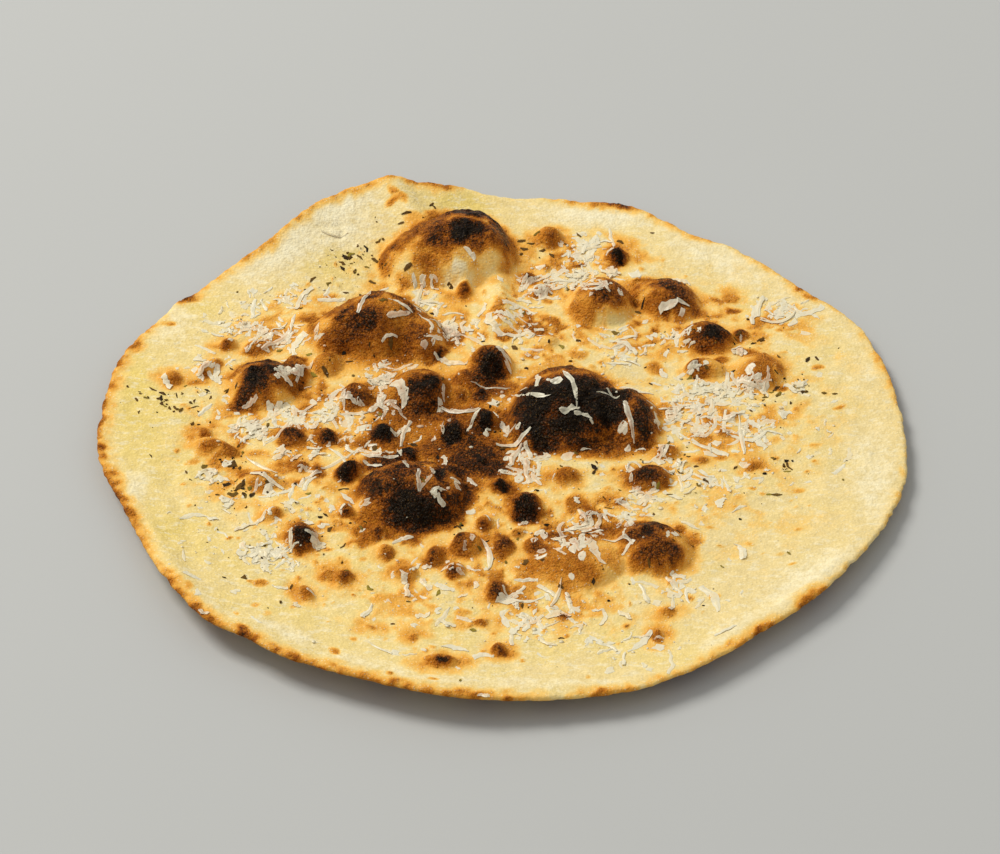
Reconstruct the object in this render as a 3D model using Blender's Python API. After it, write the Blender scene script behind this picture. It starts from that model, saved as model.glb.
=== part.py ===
"""A round focaccia: thin, blistered bread with shreds of cheese and flakes of herb baked on.

The bread is one baked disc. It is flat underneath in the middle, thinner and lifted towards
the rim, and bubbles of dough stand up all over the middle, where they browned and burnt. The
larger shreds, chips and herb flakes are joined to it, so the whole is one closed solid.

The shape is worked out in millimetres and scaled to metres in the finished mesh. +X is to the
right and +Y is away from the side that faces the viewer. Bearings are in degrees from +X,
anticlockwise seen from above.
"""

import math
import random

import bmesh
import bpy
import numpy as np
from mathutils import Matrix, Vector, noise

MM = 0.001

# --- Driving dimensions, in millimetres ------------------------------------------------------

RADIUS = 132.2           # of the plain disc, before its outline swells and dips
BODY_THICKNESS = 4.2     # of the crumb and crust between the blisters
RIM_THICKNESS = 2.0      # of the thin edge
FLAT_SHARE = 0.64        # the share of the radius that lies flat underneath
RIM_RISE = 3.2           # how far the rim's underside lifts off the flat, at the least
LIFT_POWER = 1.6         # how late the lift starts: higher is later
EDGE_UNDERCUT = 0.9      # how far the lower corner of the edge sits inside the upper one
LIP_INSET = 5.0          # from the edge to the middle of a puffed lip
LIP_WIDTH = 3.2          # half the width of that lip

# Where the outline leaves the plain disc: (bearing, millimetres outward, half width in degrees).
OUTLINE = [
    (-8, 7.0, 20),
    (18, 5.4, 13),
    (27, 2.8, 7),
    (58, -2.4, 4),
    (70, 3.0, 5),
    (90, -1.8, 6),
    (96.5, 1.8, 3),
    (110, 6.6, 9),
    (131, -2.8, 7),
    (149, 2.2, 2.5),
    (164, 7.2, 13),
    (184, 6.0, 11),
    (219, 3.2, 13),
    (225, 2.2, 5),
    (238, 1.6, 7),
    (266, 1.2, 14),
    (290, 2.0, 9),
    (311, -1.2, 6),
]

# Where the rim lifts more than the least rise: (bearing, millimetres up, half width in degrees).
RIM_LIFTS = [
    (107, 8.6, 12),
    (126, 7.2, 12),
    (178, 2.6, 22),
    (222, 5.2, 22),
    (258, 5.6, 22),
    (295, 2.8, 20),
    (325, 2.4, 18),
]

# Puffed lips just inside the edge: (bearing, height, half width in degrees).
LIPS = [
    (213, 1.1, 17),
    (322, 0.8, 15),
    (262, 0.6, 20),
]

# Blisters of dough: (x, y, half length, half width, turn in degrees, height, browning).
# Browning is 0 for bare dough, 1 for brown and 2 for burnt black.
BLISTERS = [
    # The large ones, each of two or three bubbles that ran together.
    (-26, 96, 19, 15, 25, 10.0, 1.1),
    (-13, 99, 18, 19, -10, 13.5, 1.6),
    (-44, 58, 18, 16, 15, 12.5, 1.5),
    (-57, 54, 10, 11, 0, 8.0, 1.2),
    (-28, 50, 9, 12, 0, 7.0, 1.1),
    (-83, 26, 13, 13, 0, 8.5, 1.4),
    (-72, 32, 5, 9, 0, 5.5, 1.0),
    (-28, 23, 11, 10, 0, 8.0, 1.5),
    (23, 13, 20, 21, 0, 14.0, 2.0),
    (44, 8, 11, 14, 10, 9.5, 1.8),
    (10, 6, 8, 14, 0, 6.5, 1.7),
    (-31, -31, 19, 16, 10, 12.0, 2.0),
    (50, -58, 14, 12, -30, 8.0, 1.4),
    (25, -63, 17, 14, 10, 5.5, 0.9),
    (35, 71, 12, 12.5, 0, 9.0, 1.2),
    (59, 73, 13, 10, -25, 7.0, 1.2),
    (72, 52, 10, 7, -15, 6.0, 1.5),
    # Black and brown ones in the middle.
    (-4, 37, 8, 7, 0, 8.5, 2.0),
    (-9, 30, 7, 4.5, 0, 4.0, 1.4),
    (-6, 6, 5, 5, 0, 5.5, 2.0),
    (-16.5, 1, 4.5, 5.5, 0, 5.5, 1.9),
    (-41, 1, 5, 4.5, 0, 4.0, 1.8),
    (-7, 20, 3.5, 3, 0, 2.5, 1.6),
    (-14, 21, 4, 3.5, 0, 2.5, 1.2),
    (-60, -1, 3.5, 3.5, 0, 3.5, 1.5),
    (-72, 0, 4.5, 4, 0, 3.2, 1.4),
    (-51, 20, 6, 6, 20, 4.2, 1.3),
    (-61, 37, 5, 6, 0, 4.5, 1.0),
    (-52, -18, 6, 4, 30, 4.5, 1.9),
    (-33, -10, 4, 3, 0, 3.0, 1.9),
    (8, -37, 6.5, 6, 0, 6.5, 2.0),
    (-1, -26, 4, 3.2, 0, 3.0, 1.9),
    (22, -21, 5, 4, 0, 3.5, 1.1),
    (50, -22, 8, 5.5, -5, 5.0, 1.5),
    # Scattered ones towards the near edge.
    (-67, -52, 6, 6.5, -15, 6.0, 1.5),
    (-53, -38, 3, 3.2, 0, 3.0, 1.3),
    (-77, -40, 3.5, 3, 40, 2.5, 1.0),
    (-42, -49, 3.5, 3.2, 0, 3.0, 1.2),
    (-39, -59, 3, 3, 0, 2.5, 1.1),
    (-23, -60, 3, 4.8, -15, 3.0, 1.2),
    (-16, -68, 4, 3.6, 0, 3.0, 1.3),
    (-32, -69, 4.5, 4.2, 0, 3.0, 0.9),
    (-12, -55, 5.5, 5.5, 0, 4.5, 1.2),
    (0, -56, 4, 5.5, 0, 3.5, 1.2),
    (11, -56, 3.5, 3.5, 0, 3.0, 1.3),
    (-6, -45, 3.6, 3.2, 0, 3.2, 1.2),
    (-2, -78, 4.2, 4.8, 0, 3.8, 1.4),
    (-65, -79, 3, 4, 30, 3.0, 1.0),
    (-52, -71, 3.5, 3.2, 0, 3.0, 1.2),
    (-20, -114, 6, 3.2, 0, 3.2, 1.4),
    (-1, -107, 3.2, 3, 0, 2.8, 1.2),
    # Scattered ones on the right and at the far side.
    (71, 35, 8, 5, -10, 4.0, 1.3),
    (90, 34, 9, 9.5, 0, 5.0, 0.9),
    (41, 97, 5, 4.2, -30, 4.5, 1.6),
    (17, 108, 5.5, 5.2, 0, 4.0, 1.0),
    (14, 78, 4, 3.2, 0, 2.5, 1.1),
    (10, 85, 3, 2.8, 0, 2.4, 1.1),
    (-14, 79, 3.4, 4.8, 0, 4.0, 1.2),
    (57, -8, 4.5, 4, 0, 2.5, 1.1),
    (84, 54, 3.2, 3.2, 0, 2.5, 1.3),
    # Scattered ones on the left.
    (-97, 48, 3.2, 2.8, 0, 2.8, 1.2),
    (-86, 47, 6, 3.4, 10, 2.5, 1.1),
    (-115, 29, 3.8, 3.2, 0, 2.5, 0.9),
    (-102, 36, 6.5, 2.8, 55, 2.5, 1.1),
    (-103, 1, 3.6, 3, 0, 2.5, 1.0),
    (-98, -6, 8, 3.6, -20, 3.0, 1.1),
    (-82, -23, 8, 5, -5, 2.8, 1.0),
]
BLISTER_FOOT = 2.2       # how round a blister is: higher is flatter on top
BLISTER_FLANK = 0.9      # how steep its foot is: lower is steeper
BLISTER_BLEND = 3.0      # how sharply neighbouring blisters meet
BROWN_FROM = 0.55        # the browning from which a face is brown
BURNT_FROM = 1.35        # the browning from which a face is burnt

# Long folds in the dough: (from x, from y, to x, to y, half width, height).
FOLDS = [
    (-41, 131, -29, 111, 5.0, 2.6),
    (-3, 95, 0, 60, 5.0, 3.2),
    (-2, 23, -14, -19, 9.0, 1.6),
    (-66, 47, -70, 63, 7.0, 1.2),
]

WANDER_REACH = 1.6       # how far noise pushes a blister's foot about
WANDER_LENGTH = 11.0     # the length of those pushes
SWELL_HEIGHT = 0.7       # of the dough's own slow ups and downs
SWELL_LENGTH = 26.0

GRID = 132               # squares across the disc before it is thinned
THINNED_TO = 5200        # triangles left in the bread before the toppings are joined

# --- Toppings, in millimetres ------------------------------------------------------------------

SEED = 7
SHRED_THICKNESS = 1.3
SHRED_SINK = 0.55        # how deep the underside of a shred lies in the crust
CHIP_THICKNESS = 1.9
HERB_THICKNESS = 1.2
CHIP_SINK = 0.4          # the share of a chip's or flake's thickness that lies in the crust
CHIP_TAPER = 0.84        # the width of a chip's top as a share of its foot
HEAP_SPREAD = 0.55       # how widely a heap scatters, as a share of its half length and width
CLEARANCE = 3.5          # the least distance between the middles of two scattered shreds
SEARCH_HEIGHT = 30.0     # above every blister: where the search for the crust starts
SEARCH_STEP = 0.25

# The viewer's eye. Shreds and chips are listed by where the line of sight through each of their
# ends meets the floor, and they are then laid where that line first meets the crust.
EYE = (0.0, -1120.0, 994.0)

# Shreds that stand out one by one: (from x, from y, to x, to y, width, bend in degrees).
LONE_SHREDS = [
    (11.5, 38, 13, 30, 2.4, 0),
    (4.5, 26, 17, 27, 1.7, 80),
    (21.5, 39, 26, 20, 2.3, -35),
    (20, 18.5, 27, 21.5, 2.4, 10),
    (25, 18, 31.5, 11.5, 1.6, -65),
    (41, 29.5, 53, 27, 1.9, -10),
    (43.5, 24, 45, 0.5, 2, 10),
    (-2, -1, 9.5, 10, 2.4, 45),
    (0, 12, 2, 4, 3, 0),
    (7, 0, 2, -11, 2.8, 0),
    (8, 1, 10, -7, 2, 0),
    (8.5, -7, 9, -20, 2.6, 10),
    (10, -14, 13, -21, 2.2, 0),
    (-12, -18, -9, -22, 2.2, -90),
    (-34, -6, -32, -12.5, 1.8, 0),
    (-47.5, -8.5, -41.5, -10, 2, 80),
    (-62, -12, -50, -3.5, 1.8, 0),
    (-34.5, -0.5, -32, 12, 1.9, -20),
    (-33, 13, -39.5, 23, 2, 20),
    (-46, 17, -41, 26, 3, 20),
    (-56.5, 16, -46, 17, 2, 10),
    (-21, 19.5, -8, 19, 2.4, 65),
    (-24, 50, -18, 43, 2.2, -20),
    (-21, 46, -12, 44, 2.2, 20),
    (-17, 63, -16, 53, 2.2, 0),
    (-41, 69, -32.5, 70, 2.8, -20),
    (-31, 74, -27, 88, 2.4, -15),
    (-14, 108, -9.5, 101, 2.4, 0),
    (-66, 78, -56, 78.5, 2.4, 0),
    (-54, 74, -45, 84, 2.2, 10),
    (-106, 16, -100.5, 21, 2.4, 0),
    (-81, 0, -74, 12, 1.9, 20),
    (-88, -6, -77, -15, 1.7, 15),
    (-90.5, -43, -80, -37.5, 2, 10),
    (-68, -23, -64, -16, 2.2, 0),
    (-6, -48, -5.5, -63, 2.6, -50),
    (21, -43, 30, -40.5, 1.9, 0),
    (26, -33, 29, -41, 2, 0),
    (33.5, -47.5, 44, -50, 1.8, -70),
    (81, 34, 90, 29, 2.2, 0),
    (82.5, 15, 83, -5, 2.2, 0),
    (65, 2, 78, -5, 2.6, 20),
    (56, 73, 67, 75, 3, -20),
    (61, 91, 67, 86, 2.6, -40),
    (4, -67.5, 12, -68, 2.3, 0),
    (20, -67, 16, -81, 1.8, -20),
    (21.5, -74, 23, -83, 2.2, 0),
    (45.5, -70, 49, -79, 2.2, 0),
    (55, -66, 59.5, -75, 2.8, 0),
    (66, -71, 73, -82, 3.6, 0),
    (31, -103, 37, -100, 1.8, -20),
    (-85, 51, -76, 59, 2.4, 10),
    (-107, 36, -103, 44, 2.4, 10),
    (-72, 33, -67, 44, 1.8, 10),
]

# Broad chips of cheese: (x, y, length, width, turn).
CHIPS = [
    (-23, -25, 7, 6, 0),
    (-44, 33, 7, 10, 20),
    (-87, 8, 10, 12, 20),
    (-75.5, -3.5, 4.5, 9, 0),
    (-64.5, -4, 4, 7, 0),
    (-100, -16, 8, 8, 20),
    (-93, -31, 4.5, 8, 0),
    (-80, -54, 9, 9, 20),
    (-63, -49, 5, 6, 30),
    (104, 31, 8, 5, 30),
    (83.5, 49, 3.5, 4.5, 0),
    (66.5, 40, 4.5, 4, 0),
    (40, 94, 7, 7, -30),
    (-19, 61, 7, 8, 0),
    (-75.5, 38, 6, 10, -25),
    (74, 29, 15, 5, -8),
    (59, 15, 7, 8, 0),
    (28, 92, 9, 6, 20),
]

# Heaps of finer shreds: (x, y, half length, half width, how many of the largest).
SHRED_HEAPS = [
    (-93, 63, 10, 6, 4),
    (-70, 13, 12, 7, 4),
    (-40, 39, 6, 8, 3),
    (-15, 61, 8, 7, 2),
    (17, 87, 10, 7, 4),
    (30, 108, 8, 9, 3),
    (66, 15, 11, 12, 7),
    (100, 72, 9, 6, 3),
    (86, 31, 9, 6, 2),
    (-78, -55, 9, 6, 3),
    (18, -47, 8, 5, 2),
    (14, -90, 11, 9, 4),
    (46, -29, 7, 6, 2),
]

# Heaps of herb flakes: (x, y, half length, half width, how many of the largest).
HERB_HEAPS = [
    (-55, 96, 9, 8, 5),
    (-29, 127, 9, 4, 2),
    (-116, 23, 10, 6, 4),
    (-92, -9, 3, 3, 1),
    (-90, -23, 3, 3, 2),
    (7, 110, 3, 3, 2),
    (97, 30, 8, 8, 3),
    (96, -13, 3, 3, 1),
    (32, -13, 2, 2, 1),
    (-62, 39, 4, 3, 2),
]


# --- Small helpers -------------------------------------------------------------------------------

def bell(distance, half_width):
    """One in the middle, fading to nothing beyond about two half widths."""
    return math.exp(-(distance / half_width) ** 2)


def bearing_of(x, y):
    return math.degrees(math.atan2(y, x))


def bearing_gap(a, b):
    return (a - b + 180.0) % 360.0 - 180.0


def along_bearing(waves, bearing):
    """Adds up a list of (bearing, amount, half width) at one bearing."""
    return sum(amount * bell(bearing_gap(bearing, at), width) for at, amount, width in waves)


def distance_to_fold(x, y, x0, y0, x1, y1):
    along = Vector((x1 - x0, y1 - y0))
    share = Vector((x - x0, y - y0)).dot(along) / along.length_squared
    share = min(max(share, 0.0), 1.0)
    return math.hypot(x - x0 - share * along.x, y - y0 - share * along.y)


# --- The bread's form ------------------------------------------------------------------------------

def rim_radius(bearing):
    return RADIUS + along_bearing(OUTLINE, bearing)


def rim_rise(bearing):
    return RIM_RISE + along_bearing(RIM_LIFTS, bearing)


def towards_rim(x, y):
    """Nothing over the flat middle, growing to one at the rim."""
    share = math.hypot(x, y) / rim_radius(bearing_of(x, y))
    return min(max((share - FLAT_SHARE) / (1.0 - FLAT_SHARE), 0.0), 1.0)


def underside(x, y):
    return rim_rise(bearing_of(x, y)) * towards_rim(x, y) ** LIFT_POWER


def blister_share(x, y, blister):
    """How far up its own height a blister stands at one place, from 0 to 1."""
    at_x, at_y, half_length, half_width, turn = blister[:5]
    reach = max(half_length, half_width) + WANDER_REACH
    if abs(x - at_x) > reach or abs(y - at_y) > reach:
        return 0.0
    cosine = math.cos(math.radians(turn))
    sine = math.sin(math.radians(turn))
    across = (x - at_x) * cosine + (y - at_y) * sine
    along = (y - at_y) * cosine - (x - at_x) * sine
    out = math.hypot(across / half_length, along / half_width)
    return max(0.0, 1.0 - out ** BLISTER_FOOT) ** BLISTER_FLANK


def wandered(x, y):
    """The place that noise pushes a point to, which makes round blisters uneven."""
    at = Vector((x, y, 0.0)) / WANDER_LENGTH
    push_x = noise.noise(at)
    push_y = noise.noise(at + Vector((31.0, 17.0, 5.0)))
    return x + WANDER_REACH * push_x, y + WANDER_REACH * push_y


def blister_height(x, y):
    px, py = wandered(x, y)
    total = 0.0
    for blister in BLISTERS:
        total += (blister[5] * blister_share(px, py, blister)) ** BLISTER_BLEND
    return total ** (1.0 / BLISTER_BLEND)


def browning(x, y):
    """How dark the crust is at one place: 0 bare, 1 brown, 2 burnt."""
    px, py = wandered(x, y)
    return max(blister[6] * blister_share(px, py, blister) for blister in BLISTERS)


def thickness(x, y):
    bearing = bearing_of(x, y)
    lift = towards_rim(x, y)
    body = BODY_THICKNESS + (RIM_THICKNESS - BODY_THICKNESS) * lift
    from_edge = rim_radius(bearing) - math.hypot(x, y)
    body += along_bearing(LIPS, bearing) * bell(from_edge - LIP_INSET, LIP_WIDTH)
    swell = noise.noise(Vector((x, y, 40.0)) / SWELL_LENGTH)
    body += SWELL_HEIGHT * swell * (1.0 - 0.7 * lift)
    for x0, y0, x1, y1, width, height in FOLDS:
        body += height * bell(distance_to_fold(x, y, x0, y0, x1, y1), width)
    return body


def top(x, y):
    return underside(x, y) + thickness(x, y) + blister_height(x, y)


# --- Materials --------------------------------------------------------------------------------------

def make_material(name, colour, roughness):
    material = bpy.data.materials.new(name)
    material.use_nodes = True
    shader = material.node_tree.nodes["Principled BSDF"]
    shader.inputs["Base Color"].default_value = (*colour, 1.0)
    shader.inputs["Roughness"].default_value = roughness
    shader.inputs["Metallic"].default_value = 0.0
    return material


# --- Building ---------------------------------------------------------------------------------------

def disc_point(u, v):
    """Moves a point of the square from -1 to 1 to the disc, ring by ring."""
    share = max(abs(u), abs(v))
    bearing = bearing_of(u, v)
    nearest_side = 90.0 * round(bearing / 90.0)
    slant = math.tan(math.radians(bearing - nearest_side))
    even_bearing = nearest_side + 45.0 * slant
    reach = share * rim_radius(even_bearing)
    turn = math.radians(even_bearing)
    return reach * math.cos(turn), reach * math.sin(turn)


def make_bread():
    """The bare bread: a grid made round, doubled upwards, and shaped by the functions above."""
    bm = bmesh.new()
    bmesh.ops.create_grid(bm, x_segments=GRID, y_segments=GRID, size=1.0)
    for vert in bm.verts:
        x, y = disc_point(vert.co.x, vert.co.y)
        vert.co = (x, y, underside(x, y))
    lower_rim = [vert for vert in bm.verts if vert.is_boundary]
    raised = bmesh.ops.extrude_face_region(bm, geom=bm.faces[:], use_keep_orig=True)
    for item in raised["geom"]:
        if isinstance(item, bmesh.types.BMVert):
            item.co.z = top(item.co.x, item.co.y)
    for vert in lower_rim:
        inward = 1.0 - EDGE_UNDERCUT / math.hypot(vert.co.x, vert.co.y)
        vert.co.x *= inward
        vert.co.y *= inward
    bmesh.ops.recalc_face_normals(bm, faces=bm.faces[:])
    bmesh.ops.triangulate(bm, faces=bm.faces[:])
    mesh = bpy.data.meshes.new("bread")
    bm.to_mesh(mesh)
    bm.free()
    return bpy.data.objects.new("focaccia", mesh)


def where_seen(x, y):
    """The place on the crust that hides the floor point (x, y) from the eye."""
    share = 1.0 - SEARCH_HEIGHT / EYE[2]
    while share < 1.0:
        at_x = EYE[0] + (x - EYE[0]) * share
        at_y = EYE[1] + (y - EYE[1]) * share
        if EYE[2] * (1.0 - share) <= top(at_x, at_y):
            break
        share += SEARCH_STEP / EYE[2]
    return at_x, at_y


def lay_strip(name, start, end, width, bend):
    """A shred: a thin strip in three pieces, curved in plan and following the crust below."""
    chord = Vector(end) - Vector(start)
    sideways = Vector((-chord.y, chord.x)).normalized()
    sagitta = 0.5 * chord.length * math.tan(math.radians(0.25 * bend))
    bm = bmesh.new()
    bmesh.ops.create_grid(bm, x_segments=3, y_segments=1, size=0.5)
    bmesh.ops.extrude_face_region(bm, geom=bm.faces[:], use_keep_orig=True)
    lower_count = len(bm.verts) // 2
    for index, vert in enumerate(bm.verts):
        from_middle = 2.0 * vert.co.x
        middle = Vector(start) + chord * (0.5 + 0.5 * from_middle)
        middle -= sideways * sagitta * (1.0 - from_middle ** 2)
        taper = 1.0 - 0.5 * from_middle ** 2
        at = middle + sideways * vert.co.y * width * taper
        level = -SHRED_SINK if index < lower_count else SHRED_THICKNESS - SHRED_SINK
        vert.co = (at.x, at.y, top(middle.x, middle.y) + level)
    bmesh.ops.recalc_face_normals(bm, faces=bm.faces[:])
    mesh = bpy.data.meshes.new(name)
    bm.to_mesh(mesh)
    bm.free()
    return bpy.data.objects.new(name, mesh)


def lay_chip(name, x, y, length, width, turn, thick, sides, draw):
    """A chip or flake: a flat, uneven many-sided slab that lies tilted with the crust."""
    bm = bmesh.new()
    bmesh.ops.create_cone(bm, cap_ends=True, segments=sides, radius1=0.5,
                          radius2=0.5 * CHIP_TAPER, depth=1.0)
    cosine = math.cos(math.radians(turn))
    sine = math.sin(math.radians(turn))
    uneven = [draw.uniform(0.75, 1.15) for _ in range(sides)]
    for vert in bm.verts:
        spoke = round(math.atan2(vert.co.y, vert.co.x) * sides / math.tau) % sides
        along = vert.co.x * uneven[spoke] * length
        across = vert.co.y * uneven[spoke] * width
        at_x = x + along * cosine - across * sine
        at_y = y + along * sine + across * cosine
        level = (vert.co.z + 0.5 - CHIP_SINK) * thick
        vert.co = (at_x, at_y, 0.5 * (top(at_x, at_y) + top(x, y)) + level)
    bmesh.ops.recalc_face_normals(bm, faces=bm.faces[:])
    mesh = bpy.data.meshes.new(name)
    bm.to_mesh(mesh)
    bm.free()
    return bpy.data.objects.new(name, mesh)


def scatter(heap, taken, draw):
    """Places for one heap, thickest in its middle and not closer than the clearance."""
    x, y, half_length, half_width, count = heap
    places = []
    while len(places) < count:
        seen_x = draw.gauss(x, HEAP_SPREAD * half_length)
        seen_y = draw.gauss(y, HEAP_SPREAD * half_width)
        at = where_seen(seen_x, seen_y)
        if all(math.dist(at, other) > CLEARANCE for other in taken):
            taken.append(at)
            places.append(at)
    return places


def make_toppings(cheese, herb):
    """Every shred, chip and flake, in the order in which they are laid."""
    draw = random.Random(SEED)
    taken = []
    pieces = []
    for index, (x0, y0, x1, y1, width, bend) in enumerate(LONE_SHREDS):
        start = where_seen(x0, y0)
        end = where_seen(x1, y1)
        taken.append((0.5 * (start[0] + end[0]), 0.5 * (start[1] + end[1])))
        pieces.append((lay_strip(f"lone_shred_{index:02d}", start, end, width, bend), cheese))
    for index, (x, y, length, width, turn) in enumerate(CHIPS):
        at = where_seen(x, y)
        taken.append(at)
        chip = lay_chip(f"chip_{index:02d}", *at, length, width, turn, CHIP_THICKNESS, 7, draw)
        pieces.append((chip, cheese))
    for heap_index, heap in enumerate(SHRED_HEAPS):
        for index, at in enumerate(scatter(heap, taken, draw)):
            reach = Vector((0.5 * draw.uniform(7.0, 12.0), 0.0))
            reach.rotate(Matrix.Rotation(draw.uniform(0.0, math.pi), 2))
            width = draw.uniform(1.8, 2.6)
            bend = draw.uniform(-50.0, 50.0)
            name = f"shred_{heap_index:02d}_{index:02d}"
            strip = lay_strip(name, Vector(at) - reach, Vector(at) + reach, width, bend)
            pieces.append((strip, cheese))
    for heap_index, heap in enumerate(HERB_HEAPS):
        for index, at in enumerate(scatter(heap, taken, draw)):
            name = f"herb_{heap_index:02d}_{index:02d}"
            length = draw.uniform(2.6, 4.0)
            width = draw.uniform(1.6, 2.4)
            turn = draw.uniform(0.0, 180.0)
            flake = lay_chip(name, *at, length, width, turn, HERB_THICKNESS, 5, draw)
            pieces.append((flake, herb))
    for piece, material in pieces:
        piece.data.materials.append(material)
    return [piece for piece, _ in pieces]


def applied(thing):
    """The thing's mesh with its modifiers applied."""
    graph = bpy.context.evaluated_depsgraph_get()
    return bpy.data.meshes.new_from_object(thing.evaluated_get(graph), depsgraph=graph)


def keep_main_body(mesh):
    """Drops loose scraps and fills hollows that joining the toppings may have closed off.

    Where four faces meet along an edge, two bodies touch there and count as apart.
    """
    bm = bmesh.new()
    bm.from_mesh(mesh)
    bmesh.ops.triangulate(bm, faces=bm.faces[:])
    unseen = set(bm.faces)
    bodies = []
    while unseen:
        body = [unseen.pop()]
        for face in body:
            shared = [edge for edge in face.edges if len(edge.link_faces) == 2]
            for neighbour in {other for edge in shared for other in edge.link_faces}:
                if neighbour in unseen:
                    unseen.remove(neighbour)
                    body.append(neighbour)
        bodies.append(body)
    bodies.sort(key=len)
    spare = [face for body in bodies[:-1] for face in body]
    bmesh.ops.delete(bm, geom=spare, context="FACES")
    bm.to_mesh(mesh)
    bm.free()


def paint_crust(mesh, crust_slot, brown_slot, burnt_slot):
    """Gives each face of the crust its browning."""
    for face in mesh.polygons:
        if face.material_index != crust_slot or face.normal.z < 0.0:
            continue
        shade = browning(face.center.x, face.center.y)
        if shade > BURNT_FROM:
            face.material_index = burnt_slot
        elif shade > BROWN_FROM:
            face.material_index = brown_slot


def centre_and_scale(mesh):
    """Puts the middle of the footprint over the origin and turns millimetres into metres."""
    points = np.empty(len(mesh.vertices) * 3, dtype=np.float32)
    mesh.vertices.foreach_get("co", points)
    points = points.reshape(-1, 3).astype(float)
    low = points.min(axis=0)
    high = points.max(axis=0)
    points -= [(low[0] + high[0]) / 2, (low[1] + high[1]) / 2, low[2]]
    points *= MM
    mesh.vertices.foreach_set("co", points.astype(np.float32).ravel())
    mesh.update()


def clear_scene():
    for thing in list(bpy.context.scene.objects):
        bpy.data.objects.remove(thing, do_unlink=True)


def main():
    clear_scene()
    crust = make_material("baked dough", (0.78, 0.60, 0.30), 0.62)
    brown = make_material("browned crust", (0.33, 0.13, 0.035), 0.55)
    burnt = make_material("burnt crust", (0.035, 0.022, 0.015), 0.5)
    cheese = make_material("cheese", (0.82, 0.74, 0.56), 0.45)
    herb = make_material("herb", (0.06, 0.05, 0.015), 0.7)

    home = bpy.data.collections.new("focaccia")
    toppings = bpy.data.collections.new("toppings")
    bpy.context.scene.collection.children.link(home)
    bpy.context.scene.collection.children.link(toppings)

    bread = make_bread()
    home.objects.link(bread)
    for material in (crust, brown, burnt, cheese, herb):
        bread.data.materials.append(material)
    thin = bread.modifiers.new("thin", "DECIMATE")
    thin.ratio = THINNED_TO / len(bread.data.polygons)
    thinned = applied(bread)
    bread.modifiers.clear()
    bread.data = thinned

    for piece in make_toppings(cheese, herb):
        toppings.objects.link(piece)
    join = bread.modifiers.new("join toppings", "BOOLEAN")
    join.operation = "UNION"
    join.operand_type = "COLLECTION"
    join.collection = toppings
    join.material_mode = "TRANSFER"
    joined = applied(bread)
    bread.modifiers.clear()
    bread.data = joined
    for piece in list(toppings.objects):
        bpy.data.objects.remove(piece, do_unlink=True)
    bpy.data.collections.remove(toppings)

    keep_main_body(joined)
    names = [material.name for material in joined.materials]
    paint_crust(joined, names.index(crust.name), names.index(brown.name), names.index(burnt.name))
    centre_and_scale(joined)
    print("triangles:", sum(len(face.vertices) - 2 for face in joined.polygons))


main()
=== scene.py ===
# %% [markdown]
# # A round focaccia, blistered and browned, with cheese and herbs
#
# A focaccia of this kind is a thin disc of dough, baked so hot that bubbles stand up all over its
# middle and burn on top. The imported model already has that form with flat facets. This script
# makes the bread again in its final finish: a smooth crust with every small bubble, its colours
# from pale flour to char, and the grated cheese and dried herbs that were baked on.
#
# Everything is worked out in millimetres and scaled to metres when it becomes a mesh.

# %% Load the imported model
import math

import bmesh
import bpy
import numpy as np
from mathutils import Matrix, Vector, noise


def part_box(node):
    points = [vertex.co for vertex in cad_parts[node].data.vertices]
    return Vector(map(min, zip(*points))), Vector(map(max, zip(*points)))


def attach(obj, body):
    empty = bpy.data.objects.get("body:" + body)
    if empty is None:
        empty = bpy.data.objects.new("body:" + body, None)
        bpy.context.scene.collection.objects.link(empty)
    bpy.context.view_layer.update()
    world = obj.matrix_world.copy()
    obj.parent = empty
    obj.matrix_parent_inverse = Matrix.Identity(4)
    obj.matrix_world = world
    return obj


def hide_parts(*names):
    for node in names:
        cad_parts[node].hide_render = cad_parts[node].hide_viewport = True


MM = 0.001  # one millimetre, in metres

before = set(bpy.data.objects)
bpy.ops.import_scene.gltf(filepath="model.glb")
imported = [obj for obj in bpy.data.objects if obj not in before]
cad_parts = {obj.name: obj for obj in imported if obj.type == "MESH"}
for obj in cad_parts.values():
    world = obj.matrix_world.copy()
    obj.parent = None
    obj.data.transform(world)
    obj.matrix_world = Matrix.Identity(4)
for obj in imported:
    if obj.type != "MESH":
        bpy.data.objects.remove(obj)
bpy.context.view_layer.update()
CAD_LOW, CAD_HIGH = [np.array(corner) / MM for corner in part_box("focaccia")]
print("packed bread, millimetres:", CAD_LOW.round(1), CAD_HIGH.round(1))

# %% [markdown]
# ## The bread's measures
#
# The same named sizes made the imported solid, so the finished crust lies where the solid lies.
# The dough is flat in the middle and gets thinner and lifts towards the rim. Bearings are in
# degrees from +X, anticlockwise from above.

# %% Measures of the dough
RADIUS = 132.2  # of the plain disc, before its outline swells and dips
BODY_THICKNESS = 4.2  # of the crumb and crust between the blisters
RIM_THICKNESS = 2.0  # of the thin edge
FLAT_SHARE = 0.64  # the share of the radius that lies flat underneath
RIM_RISE = 3.2  # how far the rim lifts off the flat, at the least
LIFT_POWER = 1.6  # how late the lift starts: higher is later
EDGE_UNDERCUT = 0.9  # how far the lower corner sits inside the upper one
LIP_INSET = 5.0  # from the edge to the middle of a puffed lip
LIP_WIDTH = 3.2  # half the width of that lip

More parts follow.
